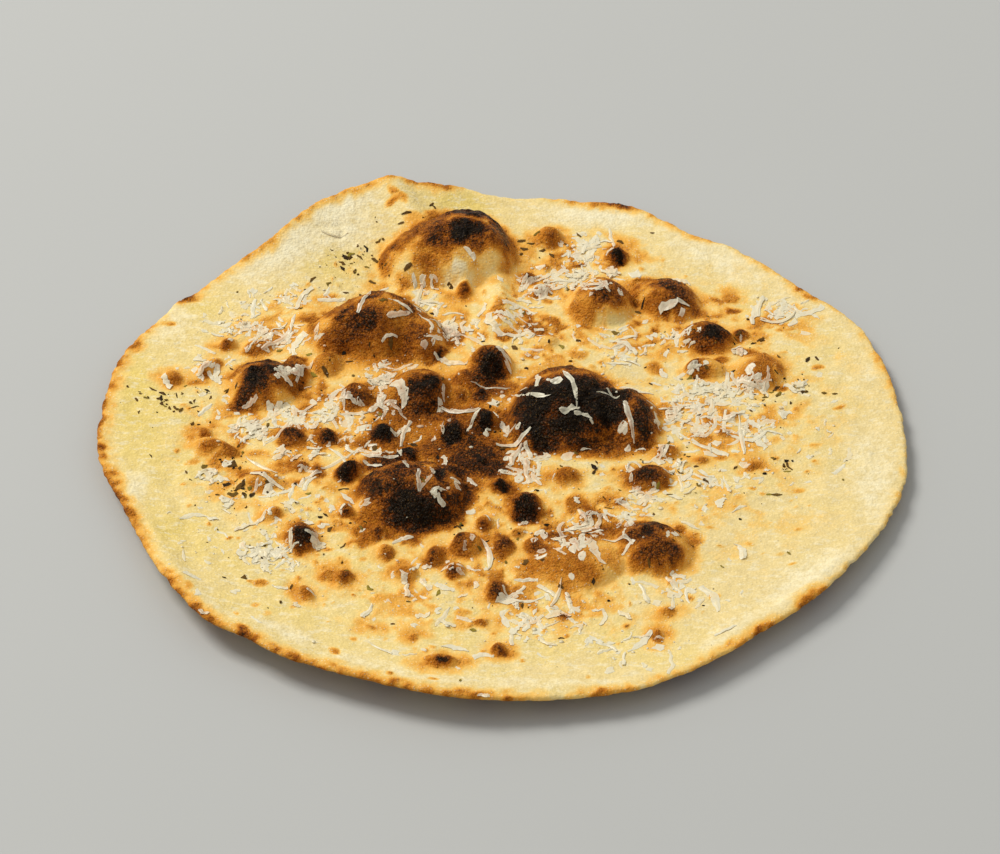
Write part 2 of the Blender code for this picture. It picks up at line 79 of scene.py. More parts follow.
# Where the outline leaves the disc: (bearing, millimetres outward, half width in degrees).
OUTLINE = [
    (-8, 7.0, 20), (18, 5.4, 13), (27, 2.8, 7), (58, -2.4, 4), (70, 3.0, 5), (90, -1.8, 6),
    (96.5, 1.8, 3), (110, 6.6, 9), (119, 3.0, 7), (131, -2.4, 7), (149, 2.2, 2.5), (164, 7.2, 13),
    (184, 6.0, 11), (219, 3.2, 13), (225, 2.2, 5), (238, 1.6, 7), (266, 1.2, 14), (290, 2.0, 9),
    (311, -1.2, 6),
]

# Where the rim lifts more than the least rise: (bearing, millimetres up, half width in degrees).
RIM_LIFTS = [
    (106, 7.6, 12), (126, 7.2, 12), (178, 2.6, 22), (222, 5.2, 22), (258, 5.6, 22), (295, 2.8, 20),
    (325, 2.4, 18),
]

# Puffed lips just inside the edge: (bearing, height, half width in degrees).
LIPS = [(213, 1.1, 17), (322, 0.8, 15), (262, 0.6, 20)]

# Long folds in the dough: (from x, from y, to x, to y, half width, height).
FOLDS = [
    (-41, 131, -29, 111, 5.0, 2.6), (-3, 95, 0, 60, 5.0, 3.2), (-2, 23, -14, -19, 9.0, 1.6),
    (-66, 47, -70, 63, 7.0, 1.2),
]

SWELL_HEIGHT = 0.7  # of the dough's own slow ups and downs
SWELL_LENGTH = 26.0
SWELL_CALM = 0.7  # the share of the swells that dies out towards the rim
SWELL_LAYER = 40.0  # which slice of the noise the swells are cut from
print("outline waves:", len(OUTLINE), "rim lifts:", len(RIM_LIFTS))

# %% [markdown]
# ## The blisters
#
# Gas under the skin lifts it into bubbles: a few as long as a thumb, and dozens as small as a pea.
# Each is a row of numbers, so one rule shapes them all and a wrong one is easy to move. They could
# be sculpted by hand instead, but then the solid and the finished crust would drift apart.

# %% The blisters, one row each
# (x, y, half length, half width, turn in degrees, height)
BLISTERS = [
    # The large ones, each of two or three bubbles that ran together.
    (-26, 96, 19, 15, 25, 10.0), (-13, 99, 18, 19, -10, 13.5), (-44, 58, 18, 16, 15, 12.5),
    (-57, 54, 10, 11, 0, 8.0), (-28, 50, 9, 12, 0, 7.0), (-83, 26, 13, 13, 0, 8.5),
    (-72, 32, 5, 9, 0, 5.5), (-28, 23, 11, 10, 0, 8.0), (23, 13, 20, 21, 0, 14.0),
    (44, 8, 11, 14, 10, 9.5), (10, 6, 8, 14, 0, 6.5), (-31, -31, 19, 16, 10, 12.0),
    (50, -58, 14, 12, -30, 8.0), (25, -63, 17, 14, 10, 5.5), (35, 71, 12, 12.5, 0, 9.0),
    (59, 73, 13, 10, -25, 7.0), (72, 52, 10, 7, -15, 6.0),
    # Black and brown ones in the middle.
    (-4, 37, 8, 7, 0, 8.5), (-9, 30, 7, 4.5, 0, 4.0), (-6, 6, 5, 5, 0, 5.5),
    (-16.5, 1, 4.5, 5.5, 0, 5.5), (-41, 1, 5, 4.5, 0, 4.0), (-7, 20, 3.5, 3, 0, 2.5),
    (-14, 21, 4, 3.5, 0, 2.5), (-60, -1, 3.5, 3.5, 0, 3.5), (-72, 0, 4.5, 4, 0, 3.2),
    (-51, 20, 6, 6, 20, 4.2), (-61, 37, 5, 6, 0, 4.5), (-52, -18, 6, 4, 30, 4.5),
    (-33, -10, 4, 3, 0, 3.0), (8, -37, 6.5, 6, 0, 6.5), (-1, -26, 4, 3.2, 0, 3.0),
    (22, -21, 5, 4, 0, 3.5), (50, -22, 8, 5.5, -5, 5.0),
    # Scattered ones towards the near edge.
    (-67, -52, 6, 6.5, -15, 6.0), (-53, -38, 3, 3.2, 0, 3.0), (-77, -40, 3.5, 3, 40, 2.5),
    (-42, -49, 3.5, 3.2, 0, 3.0), (-39, -59, 3, 3, 0, 2.5), (-23, -60, 3, 4.8, -15, 3.0),
    (-16, -68, 4, 3.6, 0, 3.0), (-32, -69, 4.5, 4.2, 0, 3.0), (-12, -55, 5.5, 5.5, 0, 4.5),
    (0, -56, 4, 5.5, 0, 3.5), (11, -56, 3.5, 3.5, 0, 3.0), (-6, -45, 3.6, 3.2, 0, 3.2),
    (-2, -78, 4.2, 4.8, 0, 3.8), (-65, -79, 3, 4, 30, 3.0), (-52, -71, 3.5, 3.2, 0, 3.0),
    (-20, -114, 6, 3.2, 0, 3.2), (-1, -107, 3.2, 3, 0, 2.8),
    # Scattered ones on the right and at the far side.
    (71, 35, 8, 5, -10, 4.0), (90, 34, 9, 9.5, 0, 5.0), (41, 97, 5, 4.2, -30, 4.5),
    (17, 108, 5.5, 5.2, 0, 4.0), (14, 78, 4, 3.2, 0, 2.5), (10, 85, 3, 2.8, 0, 2.4),
    (-14, 79, 3.4, 4.8, 0, 4.0), (57, -8, 4.5, 4, 0, 2.5), (84, 54, 3.2, 3.2, 0, 2.5),
    # Scattered ones on the left.
    (-97, 48, 3.2, 2.8, 0, 2.8), (-86, 47, 6, 3.4, 10, 2.5), (-115, 29, 3.8, 3.2, 0, 2.5),
    (-102, 36, 6.5, 2.8, 55, 2.5), (-103, 1, 3.6, 3, 0, 2.5), (-98, -6, 8, 3.6, -20, 3.0),
    (-82, -23, 8, 5, -5, 2.8),
]

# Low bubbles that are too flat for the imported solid.
LOW_BUBBLES = [
    (40, -33, 2.5, 2.2, 0, 1.5), (6, -50, 2.8, 2.6, 0, 2.0), (-57, -69, 3, 2, 0, 2.0),
    (-7, -92, 2.8, 1.6, 0, 1.3), (54, -88, 3, 2, 0, 1.7), (51, -100, 2, 2.8, 0, 1.8),
    (15.5, 92, 2.4, 2.4, 0, 1.6), (16, 51, 4, 3, 0, 2.0), (86, -16, 3.5, 2, 20, 1.4),
    (-68, -16, 2.6, 2.4, 0, 1.6), (-63, -18, 2.4, 3.2, 0, 1.6), (-42, -42, 2, 1.6, 0, .8),
    (-48, -55, 2, 1.6, 0, .8), (62, -14, 3, 2, 0, 1.0), (68, -13, 3, 2.2, 0, 1.0),
    (30, -42, 4, 2.6, 0, 1.6), (24, -55, 4, 3, 0, 1.2), (33, -50, 5, 3.6, 0, 1.2),
    (66, -1, 2, 2, 0, 1.0), (76, 2, 2.4, 3, 0, 1.2), (79, 10, 3.4, 2, 0, 1.0),
    (-29, -100, 1.8, 1.8, 0, .8), (-43, -96, 2, 1.4, -30, .7), (20, -90, 2, 1.5, 0, .9),
]

BLISTER_FOOT = 2.2  # how round a blister is: higher is flatter on top
BLISTER_FLANK = 0.9  # how steep its foot is: lower is steeper
BLISTER_BLEND = 3.0  # how sharply neighbouring blisters meet
WANDER_REACH = 1.6  # how far noise pushes a blister's foot about
WANDER_LENGTH = 11.0  # the length of those pushes
WANDER_SHIFT = (31, 17, 5)  # so that the pushes along X and along Y differ
print("blisters:", len(BLISTERS), "and", len(LOW_BUBBLES), "low bubbles")

# %% [markdown]
# ## A map of the crust
#
# Crust, colours and shreds all need the same heights, so they are worked out once, on a square map
# with a reading every half millimetre. Asking the rules again for each of a million points would be
# much slower.

# %% Helpers for rules that work on whole maps at once
MAP_STEP = 0.5
MAP_REACH = (142.0, 138.0)


def bell(distance, half_width):
    """One in the middle, fading to nothing beyond about two half widths."""
    return np.exp(-(distance / half_width) ** 2)


def smooth_step(low, high, value):
    """Nothing below low, one above high, and an even slope between."""
    share = np.clip((value - low) / (high - low), 0.0, 1.0)
    return share * share * (3.0 - 2.0 * share)


def along_bearing(waves, bearing):
    """Adds up a list of (bearing, amount, half width)."""
    total = np.zeros_like(bearing)
    for at, amount, width in waves:
        total += amount * bell((bearing - at + 180.0) % 360.0 - 180.0, width)
    return total


def noise_over(x, y, length, shift=(0.0, 0.0, 0.0)):
    """Blender's noise over arrays of places, about -1 to 1. A shift picks another part of it."""
    across = (x / length + shift[0]).ravel().tolist()
    along = (y / length + shift[1]).ravel().tolist()
    values = [noise.noise((a, b, shift[2])) for a, b in zip(across, along)]
    return np.array(values).reshape(np.shape(x))


def layered_noise(x, y, layers):
    """Noise of several sizes, added up. A layer is (length, weight, shift)."""
    return sum(weight * noise_over(x, y, length, shift) for length, weight, shift in layers)


def spot_reach(x, y, at_x, at_y, half_length, half_width, turn):
    """How far out a point is in an oval spot: nothing in its middle and one on its edge."""
    cosine = math.cos(math.radians(turn))
    sine = math.sin(math.radians(turn))
    across = ((x - at_x) * cosine + (y - at_y) * sine) / half_length
    along = ((y - at_y) * cosine - (x - at_x) * sine) / half_width
    return np.hypot(across, along)


def distance_to_line(x, y, x0, y0, x1, y1):
    """From each point to the nearest place on a straight stroke."""
    length_squared = (x1 - x0) ** 2 + (y1 - y0) ** 2
    share = ((x - x0) * (x1 - x0) + (y - y0) * (y1 - y0)) / length_squared
    share = np.clip(share, 0.0, 1.0)
    return np.hypot(x - x0 - share * (x1 - x0), y - y0 - share * (y1 - y0))


map_x = np.arange(-MAP_REACH[0], MAP_REACH[0] + MAP_STEP, MAP_STEP)
map_y = np.arange(-MAP_REACH[1], MAP_REACH[1] + MAP_STEP, MAP_STEP)
plan_x, plan_y = np.meshgrid(map_x, map_y, indexing="ij")
print("map readings:", plan_x.size)

# %% [markdown]
# ## The height of the dough
#
# First the rim, the slow swells and the folds, then the blisters, which noise pushes sideways so
# that none is quite round. A sculpted mesh could hold the same form, but a map can be read at any
# place, which the cheese needs later.

# %% The dough and its blisters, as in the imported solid
def rim_radius(bearing):
    """How far out the edge is at a bearing."""
    return RADIUS + along_bearing(OUTLINE, bearing)


def underside_height(x, y):
    """The lower face, flat in the middle and lifted at the rim, and how far the lift has got."""
    bearing = np.degrees(np.arctan2(y, x))
    share = np.hypot(x, y) / rim_radius(bearing)
    lift = np.clip((share - FLAT_SHARE) / (1.0 - FLAT_SHARE), 0.0, 1.0)
    return (RIM_RISE + along_bearing(RIM_LIFTS, bearing)) * lift ** LIFT_POWER, lift


def blister_share(x, y, blister):
    """How far up its own height a blister stands, from 0 to 1."""
    out = np.minimum(spot_reach(x, y, *blister[:5]), 1.0)
    return (1.0 - out ** BLISTER_FOOT) ** BLISTER_FLANK


bearing_map = np.degrees(np.arctan2(plan_y, plan_x))
from_edge_map = rim_radius(bearing_map) - np.hypot(plan_x, plan_y)
underside_map, lift_map = underside_height(plan_x, plan_y)
wandered_x = plan_x + WANDER_REACH * noise_over(plan_x, plan_y, WANDER_LENGTH)
wandered_y = plan_y + WANDER_REACH * noise_over(plan_x, plan_y, WANDER_LENGTH, WANDER_SHIFT)

dough_map = BODY_THICKNESS + (RIM_THICKNESS - BODY_THICKNESS) * lift_map
dough_map += along_bearing(LIPS, bearing_map) * bell(from_edge_map - LIP_INSET, LIP_WIDTH)
swell_layer = (0.0, 0.0, SWELL_LAYER / SWELL_LENGTH)
swell_map = noise_over(plan_x, plan_y, SWELL_LENGTH, swell_layer)
dough_map += SWELL_HEIGHT * swell_map * (1.0 - SWELL_CALM * lift_map)
for x0, y0, x1, y1, width, height in FOLDS:
    dough_map += height * bell(distance_to_line(plan_x, plan_y, x0, y0, x1, y1), width)

blister_map = np.zeros_like(plan_x)
for blister in BLISTERS + LOW_BUBBLES:
    share = blister_share(wandered_x, wandered_y, blister)
    blister_map += (blister[5] * share) ** BLISTER_BLEND
blister_map **= 1.0 / BLISTER_BLEND
solid_top = underside_map + dough_map + blister_map
print("highest blister, millimetres:", round(float(solid_top.max()), 2))

# %% [markdown]
# ## Finding a place on the crust
#
# The bread was studied from where the viewer's eye is, so a burnt patch or a shred is listed by the
# floor point that it hides. A search down the line of sight finds where that line meets the crust.
# Blender can cast rays at a mesh too, but there is no mesh yet.

# %% Reading the map, and looking along the line of sight
EYE = (0.0, -1120.0, 994.0)
SHEET_SHIFT = 3.0  # how much nearer the viewer the marks' zero lies
SEARCH_HEIGHT = 30.0  # above every blister
SEARCH_STEP = 0.25


def read_map(values, x, y):
    """The map's value between its readings."""
    column = np.clip((x + MAP_REACH[0]) / MAP_STEP, 0, len(map_x) - 1.001)
    row = np.clip((y + MAP_REACH[1]) / MAP_STEP, 0, len(map_y) - 1.001)
    left = column.astype(int)
    near = row.astype(int)
    across = column - left
    along = row - near
    near_value = values[left, near] * (1 - across) + values[left + 1, near] * across
    far_value = values[left, near + 1] * (1 - across) + values[left + 1, near + 1] * across
    return near_value * (1 - along) + far_value * along


def where_seen(x, y):
    """The places on the crust that hide the floor points (x, y) from the eye, a row each."""
    share = np.full(len(x), 1.0 - SEARCH_HEIGHT / EYE[2])
    looking = np.ones(len(x), bool)
    for _ in range(int(SEARCH_HEIGHT / SEARCH_STEP)):
        at_x = EYE[0] + (x - EYE[0]) * share
        at_y = EYE[1] + (y - EYE[1]) * share
        looking &= EYE[2] * (1.0 - share) > read_map(solid_top, at_x, at_y)
        share[looking] += SEARCH_STEP / EYE[2]
    return np.column_stack([EYE[0] + (x - EYE[0]) * share, EYE[1] + (y - EYE[1]) * share])


def on_crust(marks):
    """The same rows with their first two numbers moved from the sheet to the crust."""
    rows = np.array(marks, float)
    rows[:, :2] = where_seen(rows[:, 0], rows[:, 1] + SHEET_SHIFT)
    return rows


print("eye height, millimetres:", EYE[2])

# %% [markdown]
# ## Where the crust is toasted
#
# Heat from above browns what stands up highest: first golden, then orange, brown and black. The
# bread carries this as one number from 0, pale, to 1, charred. Browning could follow the height
# alone, but real bubbles aren't all alike. So each row here is an oval patch with the toasting in
# its middle, and where patches overlap the darker one wins.

# %% Toasted patches: (x, y, half length, half width, turn, toasting)
TOAST_PATCHES = [
    # The far bubble, burnt on its crest and pale in front.
    (-22, 114, 11, 5, 22, .80), (-36, 103, 8, 8, 30, .32), (-12, 114, 12, 6, -15, .64),
    (-43, 99, 2.6, 6, -10, .60), (-39.5, 106, 2.6, 4.5, -35, .66), (-33, 112, 5.5, 3.2, 40, .60),
    (-25, 118, 6.5, 5, 40, .72), (-14, 118, 7.5, 6.5, -20, .97), (-15, 112, 5, 4.5, 0, .98),
    (-8, 117, 7, 4.5, -20, .91), (-1, 115, 5, 5, -20, .80), (-12, 125, 7, 2, -30, 1.0),
    (-3, 120, 6, 2, -15, .98), (-3, 110, 5.5, 4, -10, .68), (1.5, 108, 2.5, 8, 0, .62),
    (2, 100, 2.2, 5, 0, .46), (-9, 107, 4.5, 3.2, 0, .72), (-27, 109, 10, 6, 30, .40),
    (-33, 103, 8, 7, 20, .30), (-20, 106, 8, 3.4, 0, .50), (-26, 96, 5, 4, 0, .60),
    (-14, 82, 2.8, 5, 0, .76), (-21, 87, 3.4, 2.2, 0, .30), (-5, 90, 5, 5.5, 30, .30),
    (-3, 87, 3, 3.4, 0, .36), (-3, 96, 4, 3.4, 0, .24), (-1, 68, 2.6, 5.5, 0, .50),
    (4, 82, 1.5, 4, 0, .36), (4, 78.5, 1.6, 1.6, 0, .46), (-40, 139, 4, 1.5, -50, .40),
    (-37, 135, 3.4, 1.3, -55, .36), (-40, 131.5, 3.6, 1.6, 15, .44), (-32, 123, 5, 3, 10, .28),
    (-25, 124, 3.4, 2.6, 0, .46), (-36, 88, 5, 3, 0, .30), (-42, 93, 3, 5, 0, .40),
    # The mound at the left, orange all over and nearly black on its crest.
    (-45, 64, 21, 17, 20, .49), (-49, 65, 9.5, 6.5, 20, .86), (-56, 69, 6, 2.4, 50, .88),
    (-47, 77.5, 7, 2.4, 35, .85), (-37, 77, 6, 3.2, -40, .74), (-33, 70, 5.5, 5, 0, .68),
    (-55, 57, 8, 6, 0, .67), (-63, 55, 3.4, 3.2, 0, .64), (-40, 58, 10, 6, 0, .57),
    (-30, 58, 7, 6, 0, .68), (-18, 54, 5, 8, 0, .56), (-26, 48, 6, 5, 0, .60),
    (-33, 52, 3, 6, 20, .68), (-22, 45, 2, 5, -35, .88), (-20, 58, 3, 3, 0, .62),
    (-15, 55, 3, 3, 0, .58), (-48, 44, 8, 6, 0, .45), (-40, 40, 7, 6, 0, .40),
    (-61, 45, 4.4, 2.6, 0, .56), (-60, 39, 4.8, 5, 0, .33), (-68, 55, 4, 6, 0, .36),
    (-75, 58, 4.5, 3, 0, .38), (-70, 66, 4, 3, 0, .32), (-60, 50, 6, 4, 0, .54),
    (-62, 76.5, 4.5, 1.6, 0, .42), (-44, 24, 6, 7, 0, .42), (-38, 33, 5, 5, 0, .40),
    (-43, 83, 4, 3, 0, .34),
    # The left blister, burnt down one flank only.
    (-89, 29, 4.6, 10, -25, .84), (-82, 38, 8.5, 5, 10, .90), (-86, 33, 6, 7, 0, .92),
    (-74, 40, 6, 4, -20, .74), (-71, 33, 3.6, 6.5, 0, .64), (-91, 19, 3.4, 6, -20, .64),
    (-87, 16, 3, 4, 0, .46), (-76, 28, 8, 3, 0, .52), (-82, 22, 5, 3, 0, .38),
    (-88, 48.5, 6.4, 2.9, 5, .54), (-97.5, 50.5, 2.7, 2.8, 0, .66), (-115, 33, 3.2, 3, 30, .50),
    (-104, 38, 3.8, 1.5, 55, .52), (-100.5, 42, 2.2, 2, 0, .54), (-107, 30, 5, 2, 20, .44),
    (-103.5, 33, 3, 1.5, 30, .62), (-117.5, 62, 2.5, 1.5, 10, .42), (-81, 51, 3, 2, 0, .42),
    (-103, 4, 3.2, 2.8, 0, .52), (-101, -2.5, 5, 3, -10, .52), (-94, -4, 4.2, 3, -30, .58),
    (-112, -5.5, 2, 1.4, 0, .38), (-106, -12, 3, 2, 20, .38), (-100.5, 0, 1.6, 1.2, 0, .62),
    (-88, -18.5, 3.2, 2, 0, .64), (-83, -17, 4, 1.6, 0, .50), (-83, -24, 4.5, 4.5, 0, .44),
    (-76, -17, 4, 2.5, -25, .42), (-68, -13, 2.7, 2.6, 0, .68), (-63, -15, 2.6, 3.6, 0, .62),
    (-70, -22, 2.2, 2.2, 0, .52), (-77, -36, 3.2, 2.8, 30, .52), (-57, -26, 4, 3, 0, .34),
    (-72, 4, 5, 3.4, 0, .84), (-74, 0, 4.4, 3, 0, .62), (-60, 3.5, 2.9, 2.7, 0, .90),
    (-62, -3, 4, 3, 0, .48), (-85, -8, 5, 3, 0, .36), (-57, 10, 3, 3, 0, .42),
    # The middle: broad brown patches under small black ones.
    (-24, 12, 34, 30, -10, .50), (-36, 43, 9, 6, 0, .56), (-14, -14, 12, 9, 0, .80),
    (-12, 3, 12, 10, 0, .72), (-34, 14, 10, 10, 0, .64), (-4, 28, 12, 6, 0, .68),
    (-51, 24, 5, 4.4, 20, .78), (-53, 18, 4.4, 5, 0, .54), (-28, 30, 8, 6, 0, .92),
    (-25, 32, 4.4, 5, 0, 1.0), (-28, 24, 11, 9, 0, .72), (-41, 5, 4.4, 4.2, 0, .98),
    (-4, 41, 7.5, 7, 0, .99), (-8, 35, 7.5, 4, 0, .82), (-14, 33, 5, 4, 0, .64),
    (-6, 12, 4.8, 5, 0, 1.0), (-6, 6, 4.4, 3, 0, .86), (-17, 5, 4.4, 5.4, 0, .98),
    (-7, 23.5, 3.4, 2.8, 0, .88), (-14, 24, 3.4, 2.8, 0, .62), (-9, -7, 16, 13, 0, .82),
    (-4, -14, 9, 7, 0, .84), (-22, -4, 12, 8, 0, .68), (-26, 14, 14, 8, 0, .64),
    (-14, 12, 11, 9, 0, .60), (-4, 26, 9, 5, 0, .64), (-38, -2, 8, 6, 0, .62),
    (-48, -2, 7, 5, 0, .52), (3, 12, 4.4, 9, 0, .62), (6, -14, 4, 5, 0, .48),
    (-53, -16, 6, 3.8, 30, .97), (-33, -6, 3.4, 2.7, 0, .97), (-35, -16, 12, 7, 0, .81),
    (-46, -20, 5, 8, -10, .83), (-42, -12, 7, 6, 20, .82), (-34, -8.5, 8, 3.4, 0, .80),
    (-16, -16, 4.5, 7, 0, .86), (-12, -28, 4.5, 8, 0, .82), (-31, -34, 13, 8, 0, 1.0),
    (-35, -24, 10, 6, 0, .84), (-22, -34, 9, 8, 0, .88), (-21, -17, 3.6, 8, 0, .95),
    (-43, -24, 5, 7, 0, .87), (-30, -42, 11, 4.5, 0, .84), (-15, -33, 5, 8, 0, .78),
    (-43, -36, 6, 4, 0, .42), (0, -23.5, 3.8, 2.9, 0, 1.0), (8, -33, 6.4, 6, 0, .98),
    (3, -27, 4, 3, 0, .60), (-10, -24, 5, 4, 0, .70), (10, 44, 4, 3, 0, .44),
    # The widest blister of all, whose whole top is charcoal.
    (25, 27, 17, 11, 0, 1.0), (14, 24, 10, 10, 0, .99), (38, 24, 12, 9, -10, .99),
    (35, 16, 10, 5.5, 0, .97), (30, 3, 19, 9, -5, .76), (33, -5, 15, 4.5, 0, .56),
    (49, 12, 5.5, 12, 0, .90), (12.5, 1, 5, 7, 0, .95), (10, 12, 7, 9, 0, .94),
    (47, 2, 6.5, 6, 0, .68), (22, 10, 10, 5, 0, .90), (24, 12.5, 14, 5.5, 0, .98),
    (38, 13, 9, 5, 0, .97), (20, 2, 12, 5, 0, .86),
    # The right: brown caps, and golden flecks between them.
    (42, 102.5, 3.7, 2.3, -30, .98), (42, 99, 3.8, 3.6, 0, .68), (43, 95.5, 1.6, 1.1, 0, .92),
    (28, 95, 3, 1.3, 0, .74), (18, 112, 5.4, 5.2, 0, .57), (13, 110, 4, 4, 0, .36),
    (15.5, 94, 2.2, 2.4, 0, .46), (10, 88, 3.2, 2.6, 0, .64), (14, 81, 3.8, 2.9, 0, .60),
    (16, 74, 3, 1.9, 0, .44), (6, 56, 2.2, 1.6, 0, .38), (16, 56, 4.8, 3.2, 0, .48),
    (38, 80, 8.5, 8, 0, .67), (35, 78, 5, 5, 0, .74), (41, 84, 5, 4, -30, .72),
    (28, 72, 5, 6, 0, .42), (30, 82, 4, 4, 0, .48), (60, 84, 8.5, 3.2, -20, .83),
    (64, 78, 5, 6, -30, .80), (55, 76, 6, 5, 0, .56), (49, 86, 3, 1.6, 0, .62),
    (68, 71, 3.6, 3.6, 0, .62), (77, 75, 5, 2, -20, .52), (82, 69, 3, 2.6, 0, .56),
    (80, 78, 4, 2, 0, .16), (88, 81, 3, 1.6, 0, .24), (75, 85, 6, 2, 0, .14),
    (75, 58, 5.2, 4.6, 0, .98), (73, 53, 8.4, 5, 0, .68), (67, 57, 3, 4, 0, .50),
    (78, 60, 3.2, 3, 0, .92), (84, 57, 3.2, 2.9, 0, .80), (99.5, 59, 2.2, 1.3, 0, .42),
    (102.5, 59, 1.6, 1.1, 0, .42), (95, 60.5, 1.6, 1.1, 0, .36), (52, 63, 3, 2, 0, .36),
    (53, 52, 4.8, 2.2, 0, .42), (46, 49, 5, 3.6, 0, .45), (41, 51, 3, 2, 0, .38),
    (12, 48, 3, 2.6, 0, .42), (27, 45, 4.4, 2.6, 0, .38), (54, 38, 4, 4, 0, .46),
    (68, 41, 3.7, 3.6, 0, .84), (77, 42, 3.2, 2.6, 0, .60), (70, 35, 4, 2.6, 0, .68),
    (90, 37, 8.5, 7.5, 0, .55), (86, 46, 5, 2.4, -10, .54), (93, 43, 5, 5, 0, .48),
    (98, 37, 2.6, 4, 0, .48), (79, 12.5, 3.6, 2.1, 0, .52), (66, 2, 1.8, 1.8, 0, .50),
    (76, 4, 2.6, 3, 0, .47), (56, -5, 4.6, 4.2, 0, .60), (68, -10.5, 3.2, 2.4, 0, .46),
    (75, -9.5, 3.2, 2.1, 0, .44), (86, -15, 3.2, 2.1, 20, .48), (82, -16.5, 3, 1.5, 0, .28),
    (73, 17, 5, 4, 0, .27), (62, 24, 5, 3, 0, .22), (97, 27, 3.2, 2.1, 30, .48),
    (104, 18, 5, 3, 30, .24), (118, 16.5, 2.6, 1.3, 15, .42), (111, 38, 2.6, 1.6, 0, .44),
    (108, -3, 2.1, 1.3, 0, .32), (88, -2, 4, 2, 0, .26), (85, -26, 2, 1.3, 0, .42),
    (100, -26, 2.1, 1.3, 0, .34), (68, -19.5, 4, 1.5, -15, .37), (30, 60, 4, 3, 0, .30),
    # Towards the near edge: brown caps with a pale foot.
    (19, -49, 9, 3.2, 8, .68), (33, -46, 8, 3.2, 8, .66), (13, -55.5, 5, 3.6, 0, .64),
    (44, -48, 6, 4, -10, .72), (20, -58, 18, 8, 5, .42), (64, -52, 4, 6, 0, .46),
    (49, -17, 7.6, 3.6, -5, .89), (54, -21, 4.2, 3.6, 0, .64), (49, -25, 5, 3, 0, .30),
    (22, -17, 5.2, 4, 0, .54), (22, -18.5, 1.2, 1.2, 0, .74), (40, -31, 2.2, 2, 0, .68),
    (36, -26, 3, 1.6, 0, .40), (30, -28, 4, 1.3, 0, .28), (30, -38, 4.6, 2.6, 0, .64),
    (23, -37, 2.7, 2.1, 0, .52), (36, -40, 4, 3, 0, .46), (49, -46, 5.4, 4.6, 0, .91),
    (52, -54, 7, 8, 0, .74), (57, -56, 4, 5, 20, .86), (47, -58, 5, 5, 0, .68),
    (40, -45, 5, 4, 0, .62), (60, -46, 3.2, 4, 0, .56), (24, -52, 4.2, 3.2, 0, .57),
    (33, -48, 5, 4, 0, .52), (20, -62, 15, 8.5, 0, .44), (10, -64, 7.4, 6, 0, .43),
    (28, -67, 8, 5, 0, .50), (13, -58, 6, 4, 0, .42), (35, -60, 5, 4, 0, .37),
    (22, -75, 4, 4, 0, .38), (-6, -43, 3.4, 3.2, 0, .64), (0, -51, 3.7, 3.7, 0, .78),
    (0, -57, 2.7, 4.2, 0, .50), (11, -53, 2.7, 3.2, 0, .68), (5.5, -48, 2.6, 2.2, 0, .50),
    (-13, -52, 5.2, 5.2, 0, .62), (-14, -49, 2.7, 2.7, 0, .74), (-23.5, -57.5, 2.1, 4.4, -15, .74),
    (-16, -66, 2.9, 3, 0, .76), (-33, -66, 3.6, 3.2, 0, .47), (-32, -69, 2.1, 3, 20, .44),
    (-2, -74, 3.2, 3.7, 0, .84), (-3, -78, 3.2, 2.2, 0, .56), (-52.5, -68, 2.8, 2.6, 0, .66),
    (-57, -66.5, 2.2, 1.5, 0, .50), (-60, -70, 1.8, 2, 0, .42), (-65, -76, 2.4, 3.8, 25, .52),
    (-42, -46.5, 3.2, 3.2, 0, .70), (-38.5, -57, 3.2, 3, 0, .60), (-48, -52, 2.2, 1.7, 0, .32),
    (-45, -41.5, 2.2, 1.7, 0, .32), (-52.5, -35.5, 2.8, 2.8, 0, .76), (-67, -47, 5.2, 5, 0, .93),
    (-68, -54, 3.2, 3.6, 0, .64), (-19.5, -108, 4.4, 2.5, -10, .86),
    (-20, -108.5, 5.8, 3.2, -5, .56), (-1, -104, 3, 3.2, 0, .68), (7, -108.5, 1.4, 1.4, 0, .44),
    (55, -86, 2.8, 1.9, 0, .47), (51, -96.5, 2, 2.8, 10, .54), (63, -79.5, 1.5, 1.2, 0, .50),
    (49.5, -74, 1.7, 1.5, 0, .30), (20.5, -87.5, 2, 1.5, 0, .62), (10.5, -84.5, 1.2, 1.8, 0, .4),
    (7, -79.5, 1.4, 2, 0, .36), (-7, -90, 3, 1.6, -15, .57), (-12.5, -85.5, 2, 1.7, 0, .36),
    (-29, -98.5, 1.7, 2, 0, .47), (-43, -93.5, 2.2, 1.4, -30, .46), (-49, -99, 1.7, 1.4, 0, .38),
    (-55, -104.5, 2, 2.2, 0, .44), (-36.5, -115, 1.2, 1.2, 0, .52), (-23, -117, 1.4, 1, 0, .42),
    (-104, -73, 2, 3.2, 0, .34), (-80, -72, 2.6, 1.8, 0, .44), (-25.5, -77, 2.2, 2.2, 0, .32),
    (-81, -82.5, 2.2, 1.5, 0, .32), (-87.5, -87, 1.4, 1.2, 0, .30), (-77, -86.5, 2.2, 1.2, 0, .2),
    (27, -116.5, 1.2, 1.2, 0, .32), (97, -63, 1.4, 1, 0, .34), (-58, -55.5, 1.8, 1.4, 0, .38),
    (-46, -61, 1.8, 1.4, 0, .34), (-30, -52, 2.4, 1.6, 0, .40), (-44, -52, 2.4, 1.8, 0, .42),
]
print("toasted patches:", len(TOAST_PATCHES))

